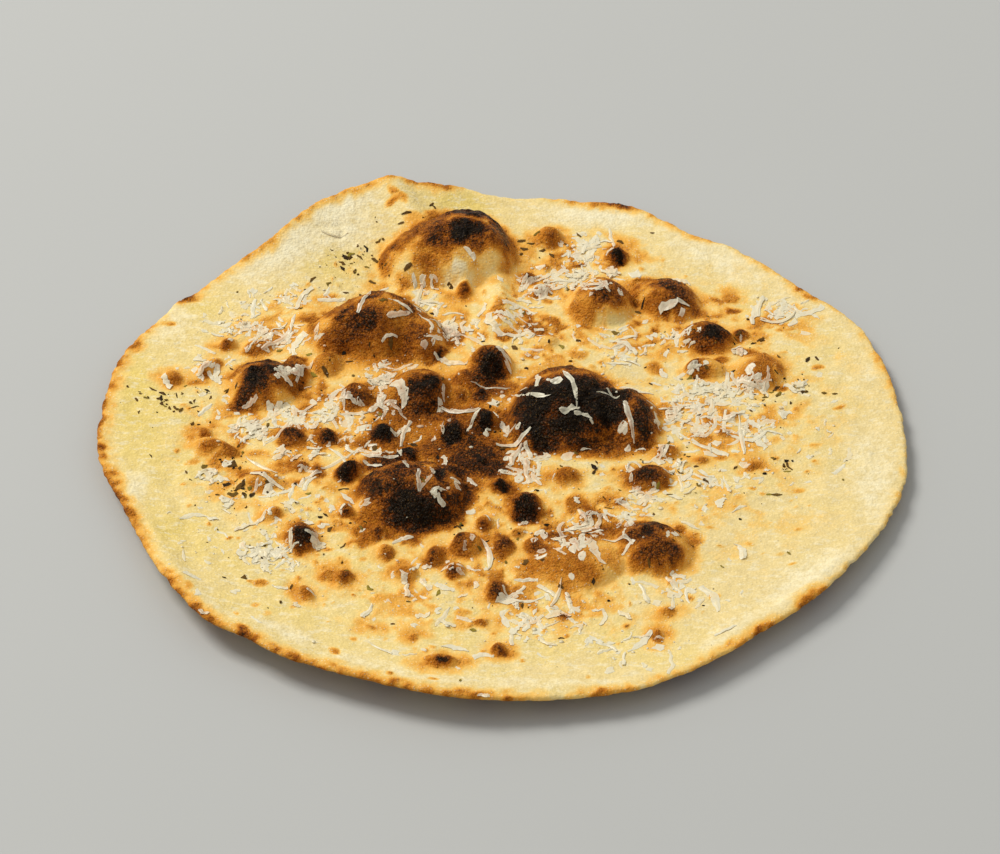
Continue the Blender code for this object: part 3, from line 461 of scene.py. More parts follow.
# %% Glows and pale places
# Wide golden glows, which are patchy: (x, y, half length, half width, turn, toasting).
GLOWS = [
    (-15, 5, 50, 42, 0, .54), (-50, 20, 40, 44, 0, .46), (10, 60, 46, 34, 0, .43),
    (20, -40, 50, 30, 0, .44), (-35, -45, 46, 28, 0, .43), (60, 66, 48, 30, -15, .47),
    (72, 12, 42, 38, 0, .33), (-85, -5, 34, 42, 0, .38), (-70, 60, 34, 26, 20, .40),
    (-30, 100, 32, 24, 0, .38), (0, -72, 75, 32, 0, .32), (90, 70, 34, 22, -35, .33),
    (30, 100, 36, 18, 0, .37), (0, 0, 130, 125, 0, .16), (70, -30, 60, 50, 0, .16),
    (100, 20, 40, 70, 0, .14),
]

# Places that are paler: (x, y, half length, half width, turn, how much paler). Most stayed pale in
# the oven. The four on the next line lie on the far bubble's front, turned from the lamp, where
# they are pale dough and partly painted light.
PALE_PATCHES = [
    (-16, 91, 8, 7, 0, 1.0), (-7, 101, 4, 5, 0, .5), (-20, 95, 7, 5, 0, .9), (-4, 93, 7, 7, 0, .6),
    (-37, 92, 6, 5, 0, .7), (-35, 101, 5, 4, 0, .5), (-76, 20, 6, 5, 0, .9), (12, -31, 8, 3, 0, .4),
    (40, 60, 9, 8, 0, .7), (48, -72, 9, 5, 20, .8), (-12, -39, 4, 4, 0, .7),
    (30, -13, 12, 3, 0, .7), (30, -26, 10, 5, 0, .6), (45, -33, 6, 5, 0, .6),
    (60, -28, 8, 7, 0, .7), (-28, 78, 6, 6, 0, .5), (-5, -62, 3, 5, 0, .7),
    (88, 84, 13, 7, -40, .8), (70, 25, 12, 8, 0, .5), (-22, -72, 6, 4, 0, .6),
    (35, -20, 6, 3, 0, .4), (-48, 12, 6, 3, 0, .4),
]
print("glows:", len(GLOWS), "pale places:", len(PALE_PATCHES))

# %% [markdown]
# ## The toasted edge
#
# The thin edge browns first, in a broken line that is darker where the rim stands up most. A
# mask of worn or sharp edges could find the rim by itself, but it would brown it evenly all
# round, so the stretches are listed by their bearing.

# %% Toasting along the rim
# (bearing, toasting, half width in degrees)
EDGE_TOAST = [
    (3, .18, 12), (14, .30, 8), (28, .20, 10), (36, .42, 4), (46, .30, 5), (56, .36, 4),
    (63, .42, 4), (72, .85, 4.5), (80, .30, 5), (99, .66, 3), (104, .40, 3), (112, .42, 7),
    (122, .44, 7), (132, .34, 5), (140, .38, 6), (147, .85, 1.6), (158, .40, 7), (166, .48, 7),
    (176, .48, 6), (186, .60, 7), (196, .58, 6), (205, .44, 6), (216, .58, 5), (224, .66, 4),
    (231, .72, 2.5), (237, .66, 4), (244, .56, 4), (252, .60, 5), (262, .52, 6), (272, .46, 6),
    (284, .54, 4), (293, .30, 6), (302, .34, 5), (310, .74, 4), (320, .60, 4), (330, .20, 8),
    (345, .24, 8),
]
EDGE_BAND = (2.6, 5.0)  # the toasted line's width, and added where it is darkest
EDGE_HAZE = 9.0  # the width of the golden haze inside it
EDGE_UNEVEN = 1.9  # how far the line wanders in and out
print("toasted stretches of the edge:", len(EDGE_TOAST))

# %% [markdown]
# ## Oil and flour, with some painted shade and painted light
#
# Oil was brushed on before baking: where it pooled the dough is yellower and shines. Where flour
# from the work top stayed on, it is paler and dull. A few oily rows are painted shade: the oiled
# colour laid where the crust is turned from the lamp. Two floury rows are painted light on the
# front of the far bubble. None of it has any thickness to see, so these are masks for the
# material and not meshes.

# %% Oil, flour, painted shade and painted light: (x, y, half length, half width, turn, strength)
OILED_AND_SHADED = [
    (-125, 20, 16, 52, 5, .90), (-108, -48, 26, 32, 0, .60), (-15, 131, 22, 10, 0, .75),
    # The row at (-108, 70) is painted shade: the oiled colour where the crust lies in shade.
    (-58, 96, 17, 18, 0, .60), (-108, 70, 12, 14, 40, .75), (-60, -84, 45, 14, 0, .50),
    (20, -102, 60, 15, 0, .42), (82, 0, 30, 40, 0, .30), (85, 72, 25, 14, -30, .50),
    # The rows at (36, -74) and (4, 78) are painted shade: in front of the mound near the edge, and
    # down the side of the fold below the far bubble that is turned from the lamp.
    (108, 12, 20, 50, 0, .25), (36, -74, 14, 6, 10, .50), (4, 78, 5, 24, 0, .70),
    (40, 62, 12, 8, 0, .45), (-62, -58, 22, 12, 0, .35), (0, 50, 60, 50, 0, .30),
    (-70, -60, 60, 60, 0, .55), (-20, -80, 80, 40, 0, .50), (-110, 10, 28, 70, 0, .60),
]
FLOURY_AND_LIT = [
    (-62, 130, 22, 11, 35, .95), (-80, 108, 24, 14, 40, .90), (-60, 116, 15, 13, 0, .75),
    (36, 124, 24, 9, -5, .85), (76, 103, 28, 11, -42, .60), (108, 80, 18, 10, -45, .30),
    (127, 42, 8, 26, 20, .15), (127, -20, 10, 32, 0, .50), (106, -70, 26, 14, 40, .75),
    (82, -94, 22, 9, 35, .60), (-130, -35, 6, 26, -20, .80), (-102, -80, 20, 6, -45, .50),
    # The rows at (-15, 91) and (-3, 96) are painted light: whiter dough on the far bubble's front,
    # which is turned from the lamp.
    (-70, -96, 15, 4.5, -30, .60), (-15, 91, 9, 8, 0, .80), (-3, 96, 8, 8, 0, .65),
    (-45, -110, 20, 5, -20, .40), (-118, 62, 10, 16, -30, .45), (0, -119, 50, 4, 0, .35),
]
print("oiled places:", len(OILED_AND_SHADED), "floury places:", len(FLOURY_AND_LIT))

# %% [markdown]
# ## From patches to maps
#
# Each patch fades outwards, and noise frays its edge, because real toasting ends in specks. The
# patches could be painted by hand on a picture, but rows of numbers work at any sharpness.

# %% Laying patches on a map
FRAYS = ((6.0, 1.6), (2.3, 0.8))  # (length of the noise, how far it pushes)
FRAY_REACH = 3.2  # round a patch, so that its frayed edge is never cut off
PATCH_BLEND = 6.0  # how sharply overlapping patches meet

frayed_x = plan_x.copy()
frayed_y = plan_y.copy()
for step, (length, reach) in enumerate(FRAYS):
    frayed_x += reach * noise_over(plan_x, plan_y, length, (3, 7, 11 + step))
    frayed_y += reach * noise_over(plan_x, plan_y, length, (13, 5, 21 + step))


def patch_values(row, core, end):
    """One patch's strength, full up to core and gone at end, in a window that just holds it."""
    reach = end * max(row[2], row[3]) + FRAY_REACH
    columns = slice(*np.searchsorted(map_x, (row[0] - reach, row[0] + reach)))
    rows = slice(*np.searchsorted(map_y, (row[1] - reach, row[1] + reach)))
    window = (columns, rows)
    out = spot_reach(frayed_x[window], frayed_y[window], *row[:5])
    return window, row[5] * (1.0 - smooth_step(core, end, out))


def lay_patches(marks, core, end, strength_map=None):
    """The blended strength of many patches over the whole map."""
    total = np.zeros_like(plan_x)
    for row in on_crust(marks):
        window, values = patch_values(row, core, end)
        if strength_map is not None:
            values = values * strength_map[window]
        total[window] += values ** PATCH_BLEND
    return total ** (1.0 / PATCH_BLEND)


print("farthest that noise frays a patch, millimetres:",
      round(float(np.hypot(frayed_x - plan_x, frayed_y - plan_y).max()), 2))

# %% [markdown]
# ## Dappled gold
#
# Golden dough is dappled, with a finer lace of brown lines where the skin dried first. Plain noise
# gives the dapples, and noise folded at zero gives thin lines. One even colour would look like
# paint, so this map sets how strong every glow is.

# %% Toast, oil and flour as maps, with their painted shade and light
DAPPLES = ((13.0, 1.0, (0, 0, 3)), (5.5, 0.8, (0, 0, 8)), (2.2, 0.4, (0, 0, 5)))
LACE_LENGTH = 5.2
LACE_SHARPNESS = 4.0  # higher makes thinner lines
PATCHY = (0.30, 0.92, 0.30)  # everywhere, added on a dapple, and added on the lace
# The share of a patch that has its full strength, and where it has faded out.
TOAST_FADE = (0.28, 1.46)
GLOW_FADE = (0.1, 1.25)
PALE_FADE = (0.2, 1.2)
SOFT_FADE = (0.1, 1.3)  # of oil and flour

dapple = layered_noise(plan_x, plan_y, DAPPLES)
lace = 1.0 - np.abs(noise_over(plan_x, plan_y, LACE_LENGTH, (6, 0, 2)) * LACE_SHARPNESS)
patchy_map = PATCHY[0] + PATCHY[1] * smooth_step(-0.35, 0.60, dapple)
patchy_map += PATCHY[2] * smooth_step(0.0, 0.9, lace) * smooth_step(-0.5, 0.2, dapple)


def dappled(base, gain, most):
    """A strength that follows the dapples, up to a limit."""
    return np.minimum(base + gain * patchy_map, most)


toast_map = lay_patches(TOAST_PATCHES, *TOAST_FADE)
glow_map = lay_patches(GLOWS, *GLOW_FADE, dappled(0.0, 1.0, 1.4))
pale_map = lay_patches(PALE_PATCHES, *PALE_FADE)
oil_and_shade_map = lay_patches(OILED_AND_SHADED, *SOFT_FADE)
flour_and_light_map = lay_patches(FLOURY_AND_LIT, *SOFT_FADE)
print("most toasted:", round(float(toast_map.max()), 2))

# %% [markdown]
# ## A halo round every blister
#
# Dough round a blister dries early, so each one stands in a faint brown halo inside a wider golden
# glow. The blisters' own ovals are laid again, a little larger. A shader could guess the halo from
# the shape's dips, but that guess is lost outside Blender.

# %% Halos and glows
HALO_TOAST = (0.24, 0.52)  # at the foot of a pale blister, and added for a black one
SMALL_BLISTER = 9.0  # half width up to which the whole flank is toasted
HALO_CORE = 0.7  # the share of the blister that has all of the halo
HALO_WIDTH = 1.8  # how far the halo reaches past the foot
GLOW_TOAST = 0.38  # of the golden dough round a blister
GLOW_LEAST = 0.35  # the share of it that even a pale blister has
GLOW_CORE = 0.8
GLOW_WIDTH = 7.0  # how far the glow reaches past the foot

halo_map = np.zeros_like(plan_x)
glow_round = np.zeros_like(plan_x)
for blister in BLISTERS + LOW_BUBBLES:
    size = min(blister[2], blister[3])
    top_toast = float(read_map(toast_map, np.array(blister[0]), np.array(blister[1])))
    flank_toast = HALO_TOAST[0] + HALO_TOAST[1] * top_toast ** 2 * (size < SMALL_BLISTER)
    row = np.array([*blister[:5], flank_toast])
    window, values = patch_values(row, HALO_CORE, 1.0 + HALO_WIDTH / size)
    halo_map[window] = np.maximum(halo_map[window], values)
    row[5] = GLOW_TOAST * (GLOW_LEAST + top_toast)
    window, values = patch_values(row, GLOW_CORE, 1.0 + GLOW_WIDTH / size)
    glow_round[window] = np.maximum(glow_round[window], values)
halo_map = np.maximum(halo_map * dappled(0.75, 0.3, 1.05), glow_round * dappled(0.45, 0.6, 1.2))
print("darkest halo:", round(float(halo_map.max()), 2))

# %% [markdown]
# ## The toasted rim as a map
#
# The rim's line follows from how far inside the edge a place is and how toasted the edge is there,
# and noise breaks it. A painted line would do as well, but this one follows the outline by itself.

# %% The toasted line and its haze
EDGE_NOISE = ((2.6, 1.0, (9, 1, 4)), (7.0, 1.0, (2, 6, 9)))
EDGE_BREAK = (0.72, 0.7)  # the line's strength, and how much noise breaks it
EDGE_DARKEST = 0.95
EDGE_CORE = 0.15  # the share of the line's width that has its full toasting
HAZE_TOAST = 0.36
HAZE_FOLLOWS = 1.4  # how closely the haze follows the line's strength

edge_strength = along_bearing(EDGE_TOAST, bearing_map)
edge_depth = from_edge_map + EDGE_UNEVEN * layered_noise(plan_x, plan_y, EDGE_NOISE)
edge_break = EDGE_BREAK[0] + EDGE_BREAK[1] * noise_over(plan_x, plan_y, 3.6, (7, 2, 8))
edge_map = np.clip(edge_strength * edge_break, 0, EDGE_DARKEST)
edge_band = EDGE_BAND[0] + EDGE_BAND[1] * edge_strength
edge_map *= 1.0 - smooth_step(EDGE_CORE, 1.0, edge_depth / edge_band)
haze = HAZE_TOAST * (1.0 - smooth_step(0.0, EDGE_HAZE, edge_depth))
edge_map = np.maximum(edge_map, haze * np.clip(edge_strength * HAZE_FOLLOWS, 0.2, 1.0))
print("darkest place on the rim:", round(float(edge_map.max()), 2))

# %% [markdown]
# ## One map for all the toasting
#
# The far flanks of tall blisters are hidden from the viewer, but they faced the same heat, so they
# are toasted like their crests. Then everything becomes one map. Taking the darkest keeps each
# mark, and adding them up would burn places under two faint ones.

# %% Far flanks, and everything together
FAR_FLANK_FROM = 3.5  # height from which a blister hides its far flank
CREST_AT = np.array([0.1, 0.25, 0.4])  # behind the middle, in half widths
FLANK_OVAL = (0.64, 0.85, 0.46)  # place, half length and half width, as shares of the blister
FLANK_SHARE = 0.92  # of the crest's toasting
FLANK_FADE = (0.4, 1.35)
HALO_BLEND = 4.0  # how sharply a halo meets a patch
PALE_UP_TO = (0.25, 0.95)  # toasting up to which it works fully, and at all
FLOUR_AND_LIGHT_UP_TO = (0.05, 0.30)  # the same for flour, which toasting uses up

toast_map = np.maximum(toast_map, glow_map)
toast_map = (toast_map ** HALO_BLEND + halo_map ** HALO_BLEND) ** (1.0 / HALO_BLEND)
for blister in BLISTERS:
    if blister[5] < FAR_FLANK_FROM:
        continue
    behind = blister[1] + blister[3] * CREST_AT
    crest = float(read_map(toast_map, np.full(3, float(blister[0])), behind).max())
    row = np.array([blister[0], blister[1] + FLANK_OVAL[0] * blister[3],
                    FLANK_OVAL[1] * blister[2], FLANK_OVAL[2] * blister[3],
                    blister[4], FLANK_SHARE * crest])
    window, values = patch_values(row, *FLANK_FADE)
    toast_map[window] = np.maximum(toast_map[window], values)
toast_map *= 1.0 - pale_map * (1.0 - smooth_step(*PALE_UP_TO, toast_map))
toast_map = np.maximum(toast_map, edge_map)
flour_and_light_map = flour_and_light_map * (1.0 - smooth_step(*FLOUR_AND_LIGHT_UP_TO, toast_map))
print("share of the crust that is brown or darker:",
      round(float((toast_map[from_edge_map > 0] > 0.5).mean()), 3))

# %% [markdown]
# ## Fine relief
#
# Tiny bubbles dot the middle, too many to list, so chance sets them, from a fixed seed. They could
# be left to the material's bump, but they show from the side too.

# %% Tiny bubbles
SEED = 11
TINY_BUBBLES = 1500
TINY_REACH = 112.0  # how far from the middle they are found
TINY_SIZE = (0.7, 2.2)  # half length
TINY_ROUND = (0.7, 1.0)  # half width, as a share of the half length
TINY_HEIGHT = (0.12, 0.34)  # as a share of the half length
TINY_TOAST = (0.02, 0.55)
TINY_PALER = 1.2  # above one, more of them stay pale

draw = np.random.default_rng(SEED)
bubble_bearing = draw.uniform(0, math.tau, TINY_BUBBLES)
bubble_reach = TINY_REACH * np.sqrt(draw.uniform(0, 1, TINY_BUBBLES))
tiny_map = np.zeros_like(plan_x)
tiny_toast = np.zeros_like(plan_x)
for turn, reach in zip(bubble_bearing, bubble_reach):
    half = draw.uniform(*TINY_SIZE)
    row = np.array([reach * math.cos(turn), reach * math.sin(turn), half,
                    half * draw.uniform(*TINY_ROUND), draw.uniform(0, 180), 1.0])
    window, values = patch_values(row, 0.0, 1.0)
    tiny_map[window] += values * half * draw.uniform(*TINY_HEIGHT)
    warmth = draw.uniform(*TINY_TOAST) ** TINY_PALER
    tiny_toast[window] = np.maximum(tiny_toast[window], values * warmth)
print("highest tiny bubble, millimetres:", round(float(tiny_map.max()), 2))

# %% [markdown]
# ## Rough crust, wrinkles and creases
#
# Browned crust is pitted, burnt skin has wrinkled, and plain dough only ripples. A Displace
# modifier would roughen all of it alike, so each kind has its own noise, let in where the toasting
# says so. Long creases are listed.

# %% The crust with all its relief
ROUGH_HEIGHT = 0.60  # of browned crust
WRINKLE_HEIGHT = 1.50  # of burnt skin
WRINKLE_LEVEL = 0.9  # the part of the wrinkles that sinks below the skin
RIPPLE_HEIGHT = 0.34  # of plain dough
PORE_DEPTH = 0.7  # of the pits in browned crust
BROWNED = (0.30, 0.65)  # toasting over which the dough becomes brown crust
BURNT = (0.78, 0.97)  # and brown crust becomes burnt skin
ROUGHNESS = ((6.0, 1.3, (2, 2, 9)), (2.8, 1.0, (1, 2, 3)), (1.3, 0.7, (4, 5, 6)))
RIPPLES = ((8.0, 1.0, (7, 3, 1)), (3.6, 0.5, (6, 1, 2)))
HEADROOM = 0.3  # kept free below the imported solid's highest point
THINNEST = 1.2  # of the dough anywhere

# Sharp creases: (from x, from y, to x, to y, half width, depth), on the marks' sheet.
CREASES = [
    (5, 14, 15, 13, 1.3, 1.0), (15, 13, 22, 16, 1.3, 1.1), (22, 16, 28, 14, 1.2, 1.0),
    (20, 15, 28, 20, 1.2, 1.1), (28, 20, 40, 30, 1.4, 1.2), (28, 12, 43, 13, 1.2, 1.0),
    (-22, -8, -20, -24, 1.6, 1.6), (-40, -26, -24, -25, 1.2, .8), (-10, 110, -16, 120, 1.2, .9),
    (-67, 118, -60, 119, .8, .5), (-60, 119, -58, 112, .8, .5), (-58, 112, -62, 109, .8, .4),
    (-44, 49, -25, 40, 1.2, .8), (-25, 50, -18, 40, 1.3, 1.0), (-56, 63, -46, 60, 1.4, .8),
    (44, -50, 52, -58, 1.3, .8), (-121, -42, -117, -52, .8, .7), (-106, 12, -115, -28, 3.0, .5),
    (-112, -22, -103, -60, 3.0, .5), (-98, -52, -88, -74, 2.6, .4), (60, 82, 66, 73, 1.2, .5),
]

pore_map = smooth_step(0.30, 0.62, noise_over(plan_x, plan_y, 2.3, (5, 5, 5)))
browned = smooth_step(*BROWNED, toast_map)
burnt = smooth_step(*BURNT, toast_map)
wrinkle = 1.0 - 2.2 * np.abs(noise_over(plan_x, plan_y, 7.5, (8, 8, 2)))
wrinkle += 0.5 - 1.1 * np.abs(noise_over(plan_x, plan_y, 3.4, (5, 9, 7)))

crust_top = solid_top + tiny_map
crust_top += ROUGH_HEIGHT * layered_noise(plan_x, plan_y, ROUGHNESS) * browned
crust_top += WRINKLE_HEIGHT * (wrinkle - WRINKLE_LEVEL) * burnt
crust_top -= PORE_DEPTH * pore_map * browned
crust_top += RIPPLE_HEIGHT * layered_noise(plan_x, plan_y, RIPPLES) * (1.0 - browned)
starts = on_crust([crease[:2] for crease in CREASES])
ends = on_crust([crease[2:4] for crease in CREASES])
for start, end, crease in zip(starts, ends, CREASES):
    distance = distance_to_line(frayed_x, frayed_y, *start, *end)
    crust_top -= crease[5] * bell(distance, crease[4])
toast_map = np.maximum(toast_map, tiny_toast * dappled(0.5, 1.0, 1.2))
crust_top = np.clip(crust_top, underside_map + THINNEST, CAD_HIGH[2] - HEADROOM)
print("roughest relief added, millimetres:", round(float(np.abs(crust_top - solid_top).max()), 2))

# %% [markdown]
# ## The mesh of the bread
#
# A flat grid is pulled round, ring by ring, so its squares stay nearly even, and each point takes
# its height from the map. A disc made of spokes would bunch up in the middle.

# %% Making the grids round
GRID = 288  # squares across the upper face
COARSER = 4  # the lower face has a quarter of them
RIM_FROM = 0.93  # the share of the way out from which the edge is frayed and set in
BITES = ((5.0, 1.0, (3, 3, 3)), (2.0, 0.6, (4, 4, 4)))
BITE_DEPTH = (0.25, 0.7, 1.3)  # on the whole, how much noise adds, and the deepest


def disc_points(u, v):
    """Moves points of the square from -1 to 1 to the disc, ring by ring."""
    share = np.maximum(np.abs(u), np.abs(v))
    bearing = np.degrees(np.arctan2(v, u))
    nearest_side = 90.0 * np.round(bearing / 90.0)
    slant = np.tan(np.radians(bearing - nearest_side))
    even_bearing = nearest_side + 45.0 * slant
    reach = share * rim_radius(even_bearing)
    turn = np.radians(even_bearing)
    return reach * np.cos(turn), reach * np.sin(turn)


def ring_inwards(places, distance):
    """The same places, each that distance nearer the middle."""
    reach = np.maximum(np.hypot(places[:, 0], places[:, 1]), 1.0)
    return places[:, :2] * (1.0 - distance / reach)[:, None]


def places_of(verts):
    return np.array([vert.co for vert in verts])


def move_vertices(verts, places):
    for vert, place in zip(verts, places.tolist()):
        vert.co = place


def round_places(verts, set_in):
    """Where a square grid's points go on the disc, with a frayed edge that is set in a little."""
    square = places_of(verts)
    x, y = disc_points(square[:, 0], square[:, 1])
    fray = np.clip(BITE_DEPTH[0] + BITE_DEPTH[1] * layered_noise(x, y, BITES), 0.0, BITE_DEPTH[2])
    near_rim = smooth_step(RIM_FROM, 1.0, np.abs(square[:, :2]).max(axis=1))
    places = np.column_stack([x, y, np.zeros(len(x))])
    places[:, :2] = ring_inwards(places, (fray + set_in) * near_rim)
    return places


print("squares across, above and below:", GRID, GRID // COARSER)

# %% [markdown]
# ## The rolled edge
#
# The edge of baked dough is rounded. The grid's open border is extruded once, outwards and about
# half way down. A Bevel modifier would round it too, but also every sharp wrinkle.

# %% The upper face and the rolled edge
ROLL = 0.40  # how far the upper rim is set in
ROLL_DROP = 0.25  # and how far it drops
ROLL_HEIGHT = (0.45, 0.55)  # of its widest place: shares of the floor and the rim

bm = bmesh.new()
bmesh.ops.create_grid(bm, x_segments=GRID, y_segments=GRID, size=1.0)
is_rim = np.array([vert.is_boundary for vert in bm.verts])
top_places = round_places(bm.verts, ROLL)
top_places[:, 2] = read_map(crust_top, top_places[:, 0], top_places[:, 1]) - ROLL_DROP * is_rim
move_vertices(bm.verts, top_places)

upper_rim = [edge for edge in bm.edges if edge.is_boundary]
rolled = bmesh.ops.extrude_edge_only(bm, edges=upper_rim)["geom"]
edge_verts = [item for item in rolled if isinstance(item, bmesh.types.BMVert)]
edge_places = places_of(edge_verts)
edge_places[:, :2] = ring_inwards(edge_places, -ROLL)
floor_height, _ = underside_height(edge_places[:, 0], edge_places[:, 1])
edge_places[:, 2] = ROLL_HEIGHT[0] * floor_height + ROLL_HEIGHT[1] * edge_places[:, 2]
move_vertices(edge_verts, edge_places)
print("upper face and edge:", len(bm.faces), "faces")

# %% [markdown]
# ## The lower face
#
# Underneath the bread is nearly smooth, so a coarser grid will do. Its border is cut until it has
# as many points as the edge above, and the two are bridged. Solidify would make it with no work,
# but as a copy of every blister.

# %% Closing the bread underneath
upper_count = len(bm.verts)
side = GRID // COARSER
bmesh.ops.create_grid(bm, x_segments=side, y_segments=side, size=1.0)
bm.verts.index_update()
lower_faces = [face for face in bm.faces if face.verts[0].index >= upper_count]
lower_rim = [edge for edge in bm.edges
             if edge.is_boundary and edge.verts[0].index >= upper_count]
bmesh.ops.reverse_faces(bm, faces=lower_faces)
bmesh.ops.subdivide_edges(bm, edges=lower_rim, cuts=COARSER - 1)
bm.verts.index_update()
lower_verts = [vert for vert in bm.verts if vert.index >= upper_count]
low_places = round_places(lower_verts, EDGE_UNDERCUT)
low_places[:, 2], _ = underside_height(low_places[:, 0], low_places[:, 1])
move_vertices(lower_verts, low_places)

open_rims = [edge for edge in bm.edges if edge.is_boundary]
bmesh.ops.bridge_loops(bm, edges=open_rims)
bm.verts.index_update()
many_sided = [face for face in bm.faces if len(face.verts) > 4]
bmesh.ops.triangulate(bm, faces=many_sided)
print("faces:", len(bm.faces), "open edges:", sum(edge.is_boundary for edge in bm.edges))

# %% [markdown]
# ## Carrying the maps on the mesh
#
# The material has to know how toasted, oily and floury each point is, so attributes on the mesh
# carry it. The oily and floury ones also carry painted shade and painted light in a few places. A
# texture projected from above would print the top's burns on the lower face, which has maps of its
# own: the toasted rim, no oil and a little flour.

# %% Attributes on the bread's points
ATTRIBUTES = ("toast", "oil_and_shade", "flour_and_light")
FLOUR_BELOW = 0.35  # the lower face lay on a floured stone


def add_attribute(mesh, name, values):
    mesh.attributes.new(name, "FLOAT", "POINT").data.foreach_set("value", values.astype(np.float32))


bm.verts.ensure_lookup_table()
below = np.array([vert.index >= upper_count for vert in bm.verts], float)
bread_mesh = bpy.data.meshes.new("bread")
bm.to_mesh(bread_mesh)
bm.free()
points = np.empty(len(bread_mesh.vertices) * 3, np.float32)
bread_mesh.vertices.foreach_get("co", points)
points = points.reshape(-1, 3).astype(float)
upper_maps = (toast_map, oil_and_shade_map, flour_and_light_map)
lower_maps = (edge_map, np.zeros_like(plan_x), np.full_like(plan_x, FLOUR_BELOW))
for name, upper, lower in zip(ATTRIBUTES, upper_maps, lower_maps):
    above_values = read_map(upper, points[:, 0], points[:, 1])
    below_values = read_map(lower, points[:, 0], points[:, 1])
    add_attribute(bread_mesh, name, np.where(below > 0.5, below_values, above_values))
add_attribute(bread_mesh, "below", below)
print("points below:", int(below.sum()), "of", len(below))

# %% [markdown]
# ## The bread as an object
#
# The points are set down on the floor, scaled to metres and shaded smooth. The object could carry
# the scale, but then the material's patterns would be scaled with it.

# %% The finished bread
def new_object(name, mesh):
    thing = bpy.data.objects.new(name, mesh)
    bpy.context.scene.collection.objects.link(thing)
    return thing


def set_smooth(mesh):
    mesh.polygons.foreach_set("use_smooth", np.ones(len(mesh.polygons), bool))


off_middle = 0.5 * (points.min(axis=0) + points.max(axis=0)) - 0.5 * (CAD_LOW + CAD_HIGH)
points[:, 2] -= points[:, 2].min()
bread_mesh.vertices.foreach_set("co", (points * MM).astype(np.float32).ravel())
set_smooth(bread_mesh)
bread = new_object("bread", bread_mesh)
print("bread is off the packed solid's middle by, millimetres:", off_middle[:2].round(2))
print("bread spans, millimetres:", (points.max(axis=0) - points.min(axis=0)).round(1))
print("triangles:", sum(len(face.vertices) - 2 for face in bread_mesh.polygons))

# %% [markdown]
# ## Tiling small pieces
#
# Toppings fall as hundreds of copies of a simple form, no two alike. Geometry nodes could scatter
# copies, but a shred on a blister changes its shape with its place. So a template is shaped once,
# and its points are copied in one array and bent for each piece.

# %% Templates of a shred, a leaf, a crumb and a chip
CHIP_SIDES = 9
CHIP_TOP = 0.42  # half the width of a chip's top, where its foot has 0.5


def template_of(bm):
    """The points and faces of a small form, ready to be copied."""
    bmesh.ops.recalc_face_normals(bm, faces=bm.faces[:])
    bm.verts.index_update()
    places = places_of(bm.verts)
    faces = [[vert.index for vert in face.verts] for face in bm.faces]
    bm.free()
    return places, faces


def strip_template(along, across):
    """A flat slab: x from -1 to 1, y from -0.5 to 0.5, z 0 below and 1 above."""
    bm = bmesh.new()
    bmesh.ops.create_grid(bm, x_segments=along, y_segments=across, size=1.0)
    raised = bmesh.ops.extrude_face_region(bm, geom=bm.faces[:], use_keep_orig=True)["geom"]
    for item in raised:
        if isinstance(item, bmesh.types.BMVert):
            item.co.z = 1.0
    bmesh.ops.scale(bm, vec=(1.0, 0.5, 1.0), verts=bm.verts[:])
    return template_of(bm)


def crumb_template():
    bm = bmesh.new()
    bmesh.ops.create_icosphere(bm, subdivisions=1, radius=1.0)
    return template_of(bm)


def chip_template():
    """A many-sided slab with a smaller top, one across and from 0 to 1 high."""
    bm = bmesh.new()
    bmesh.ops.create_cone(bm, cap_ends=True, cap_tris=True, segments=CHIP_SIDES, radius1=0.5,
                          radius2=CHIP_TOP, depth=1.0)
    bmesh.ops.translate(bm, vec=(0.0, 0.0, 0.5), verts=bm.verts[:])
    return template_of(bm)


STRIP = strip_template(8, 2)
LEAF = strip_template(2, 2)
CRUMB = crumb_template()
CHIP = chip_template()
print("faces in a shred:", len(STRIP[1]), "in a crumb:", len(CRUMB[1]))

# %% [markdown]
# ## One mesh from many copies
#
# Joining hundreds of objects is slow, so the points and faces of all copies are written into one
# mesh at once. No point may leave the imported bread's box. Crumbs are shaded smooth; grated cheese
# isn't, as it has crisp sides.

# %% One object from many copies
def tiled_piece(name, places, template, material, **attributes):
    """One object from copies. Places has a row for each copy, and so has each attribute."""
    faces = template[1]
    copies, count = places.shape[:2]
    offsets = (np.arange(copies) * count)[:, None, None]
    by_size = {}
    for face in faces:
        by_size.setdefault(len(face), []).append(face)
    all_faces = []
    for same in by_size.values():
        all_faces += (np.array(same)[None] + offsets).reshape(-1, len(same[0])).tolist()
    inside = np.clip(places.reshape(-1, 3), CAD_LOW, CAD_HIGH)
    mesh = bpy.data.meshes.new(name)
    mesh.from_pydata((inside * MM).tolist(), [], all_faces)
    for key, values in attributes.items():
        add_attribute(mesh, key, np.broadcast_to(values, (copies, count)).ravel())
    if template is CRUMB:
        set_smooth(mesh)
    mesh.materials.append(material)
    piece = new_object(name, mesh)
    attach(piece, "root")
    print(name, "copies:", copies, "triangles:", sum(len(f) - 2 for f in faces) * copies)


print("points in each kind of copy:", [len(part[0]) for part in (STRIP, LEAF, CRUMB, CHIP)])

# %% [markdown]
# ## Building materials from nodes
#
# In the editor a material is drawn as boxes and wires. Here each box is one call that returns its
# output, so a formula reads like arithmetic: plus(times(a, 2.0), b).

# %% Helpers that add one node each
def feed(end, value):
    """Gives a socket another node's output, a colour or a number."""
    if isinstance(value, bpy.types.NodeSocket):
        end.id_data.links.new(value, end)
    elif end.type == "RGBA":
        end.default_value = (*value, 1.0)
    else:
        end.default_value = value


